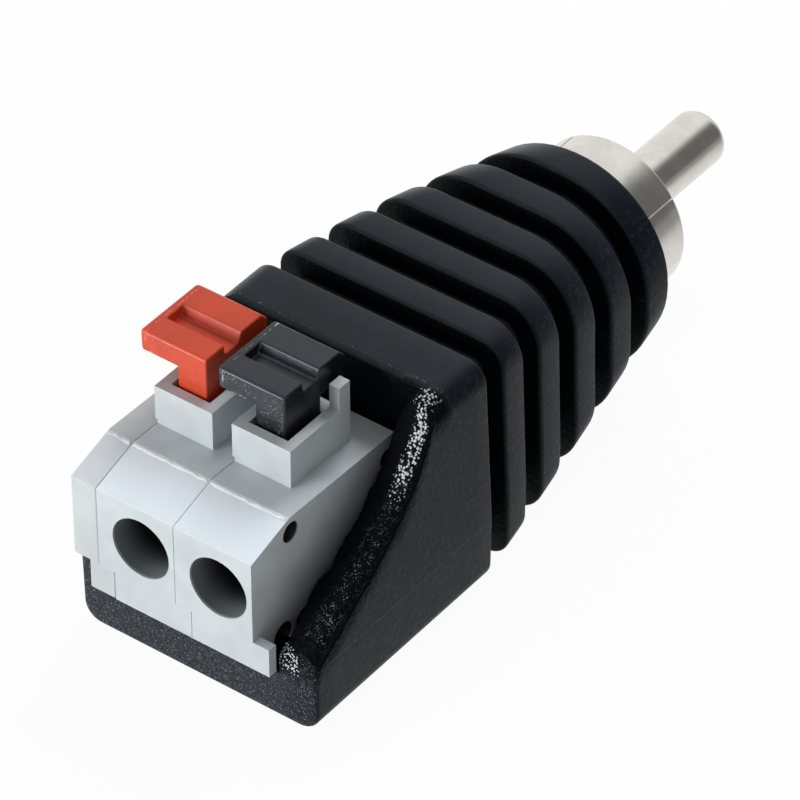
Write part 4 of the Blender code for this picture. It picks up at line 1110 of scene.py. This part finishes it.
def place_room(context, stage):
    """Even room light, white where the camera or a reflection sees it, darker low on the right."""
    world = bpy.data.worlds.new("room")
    context.scene.world = world
    world.use_nodes = True
    room = Nodes(world.node_tree)
    even = room.tree.nodes["Background"]
    room.feed(even.inputs["Color"], (1.0, 1.0, 1.0, 1.0))
    room.feed(even.inputs["Strength"], stage.room)
    camera, seen = room.rays()
    direction = room.node("ShaderNodeTexCoord", {}, {}).outputs["Generated"]
    heading = room.node("ShaderNodeVectorMath", {"operation": "DOT_PRODUCT"},
                        {0: direction, 1: (0.6, -0.75, 0.28)})
    low_right = Value(room, heading.outputs["Value"]).step(0.62, 0.9) * (1.0 - camera)
    tone = room.mixed(low_right * 0.88, (1.0, 1.0, 1.0), (0.06, 0.06, 0.055))
    white = room.node("ShaderNodeBackground", {}, {"Color": tone, "Strength": 1.0})
    mix = room.node("ShaderNodeMixShader", {}, {0: seen, 1: even.outputs[0], 2: white.outputs[0]})
    room.feed(room.tree.nodes["World Output"].inputs["Surface"], mix.outputs[0])


def place_lamp(name, power, size, place):
    lamp = bpy.data.lights.new(name, "AREA")
    lamp.shape = "SQUARE"
    lamp.size = size
    lamp.energy = power
    obj = bpy.data.objects.new(name, lamp)
    bpy.context.scene.collection.objects.link(obj)
    obj.location = place
    aim = Vector((0.0, 0.0, 0.008)) - Vector(place)
    obj.rotation_euler = aim.to_track_quat("-Z", "Y").to_euler()
    return obj


def place_camera(context, stage):
    """The photograph's view: its heading, tilt and roll, from its distance."""
    heading = math.radians(37.238)
    tilt = math.radians(39.935)
    roll = math.radians(0.342)
    flat = math.cos(tilt)
    ahead = Vector((flat * math.cos(heading), flat * math.sin(heading), -math.sin(tilt)))
    level = Vector((math.sin(heading), -math.cos(heading), 0.0))
    down = ahead.cross(level)
    right = math.cos(roll) * level + math.sin(roll) * down
    down = math.cos(roll) * down - math.sin(roll) * level
    camera = bpy.data.cameras.new("camera")
    camera.lens = stage.lens
    camera.sensor_width = 36.0
    obj = bpy.data.objects.new("camera", camera)
    context.scene.collection.objects.link(obj)
    turn = Matrix((right, -down, -ahead)).transposed()
    obj.rotation_euler = turn.to_euler()
    obj.location = (-0.186710 + FRONT_X, -0.155563, 0.222093)
    context.scene.camera = obj


class ADAPTER_PT_panel(bpy.types.Panel):
    """Lists the pieces of the adapter"""
    bl_idname = "ADAPTER_PT_panel"
    bl_label = "Adapter"
    bl_space_type = "VIEW_3D"
    bl_region_type = "UI"
    bl_category = "Adapter"

    def draw(self, context):
        for operator in STEPS:
            self.layout.operator(operator.bl_idname)
        for settings in SETTINGS:
            group = getattr(context.scene, settings)
            for name in group.__annotations__:
                self.layout.prop(group, name)


SETTINGS = {"adapter_housing": HousingSettings, "adapter_terminal": TerminalSettings,
            "adapter_button": ButtonSettings, "adapter_plug": PlugSettings, "adapter_stage": StageSettings}
STEPS = (ADAPTER_OT_housing, ADAPTER_OT_terminal, ADAPTER_OT_buttons, ADAPTER_OT_plug,
         ADAPTER_OT_inner_pieces, ADAPTER_OT_stage)


def register():
    for name, group in SETTINGS.items():
        bpy.utils.register_class(group)
        setattr(bpy.types.Scene, name, bpy.props.PointerProperty(type=group))
    for item in STEPS + (ADAPTER_PT_panel,):
        bpy.utils.register_class(item)


def unregister():
    for item in (ADAPTER_PT_panel,) + STEPS[::-1]:
        bpy.utils.unregister_class(item)
    for name, group in SETTINGS.items():
        delattr(bpy.types.Scene, name)
        bpy.utils.unregister_class(group)


def main():
    register()
    bpy.ops.adapter.housing()
    bpy.ops.adapter.terminal()
    bpy.ops.adapter.buttons()
    bpy.ops.adapter.plug()
    bpy.ops.adapter.inner_pieces()
    bpy.ops.adapter.stage()


if __name__ == "__main__":
    main()
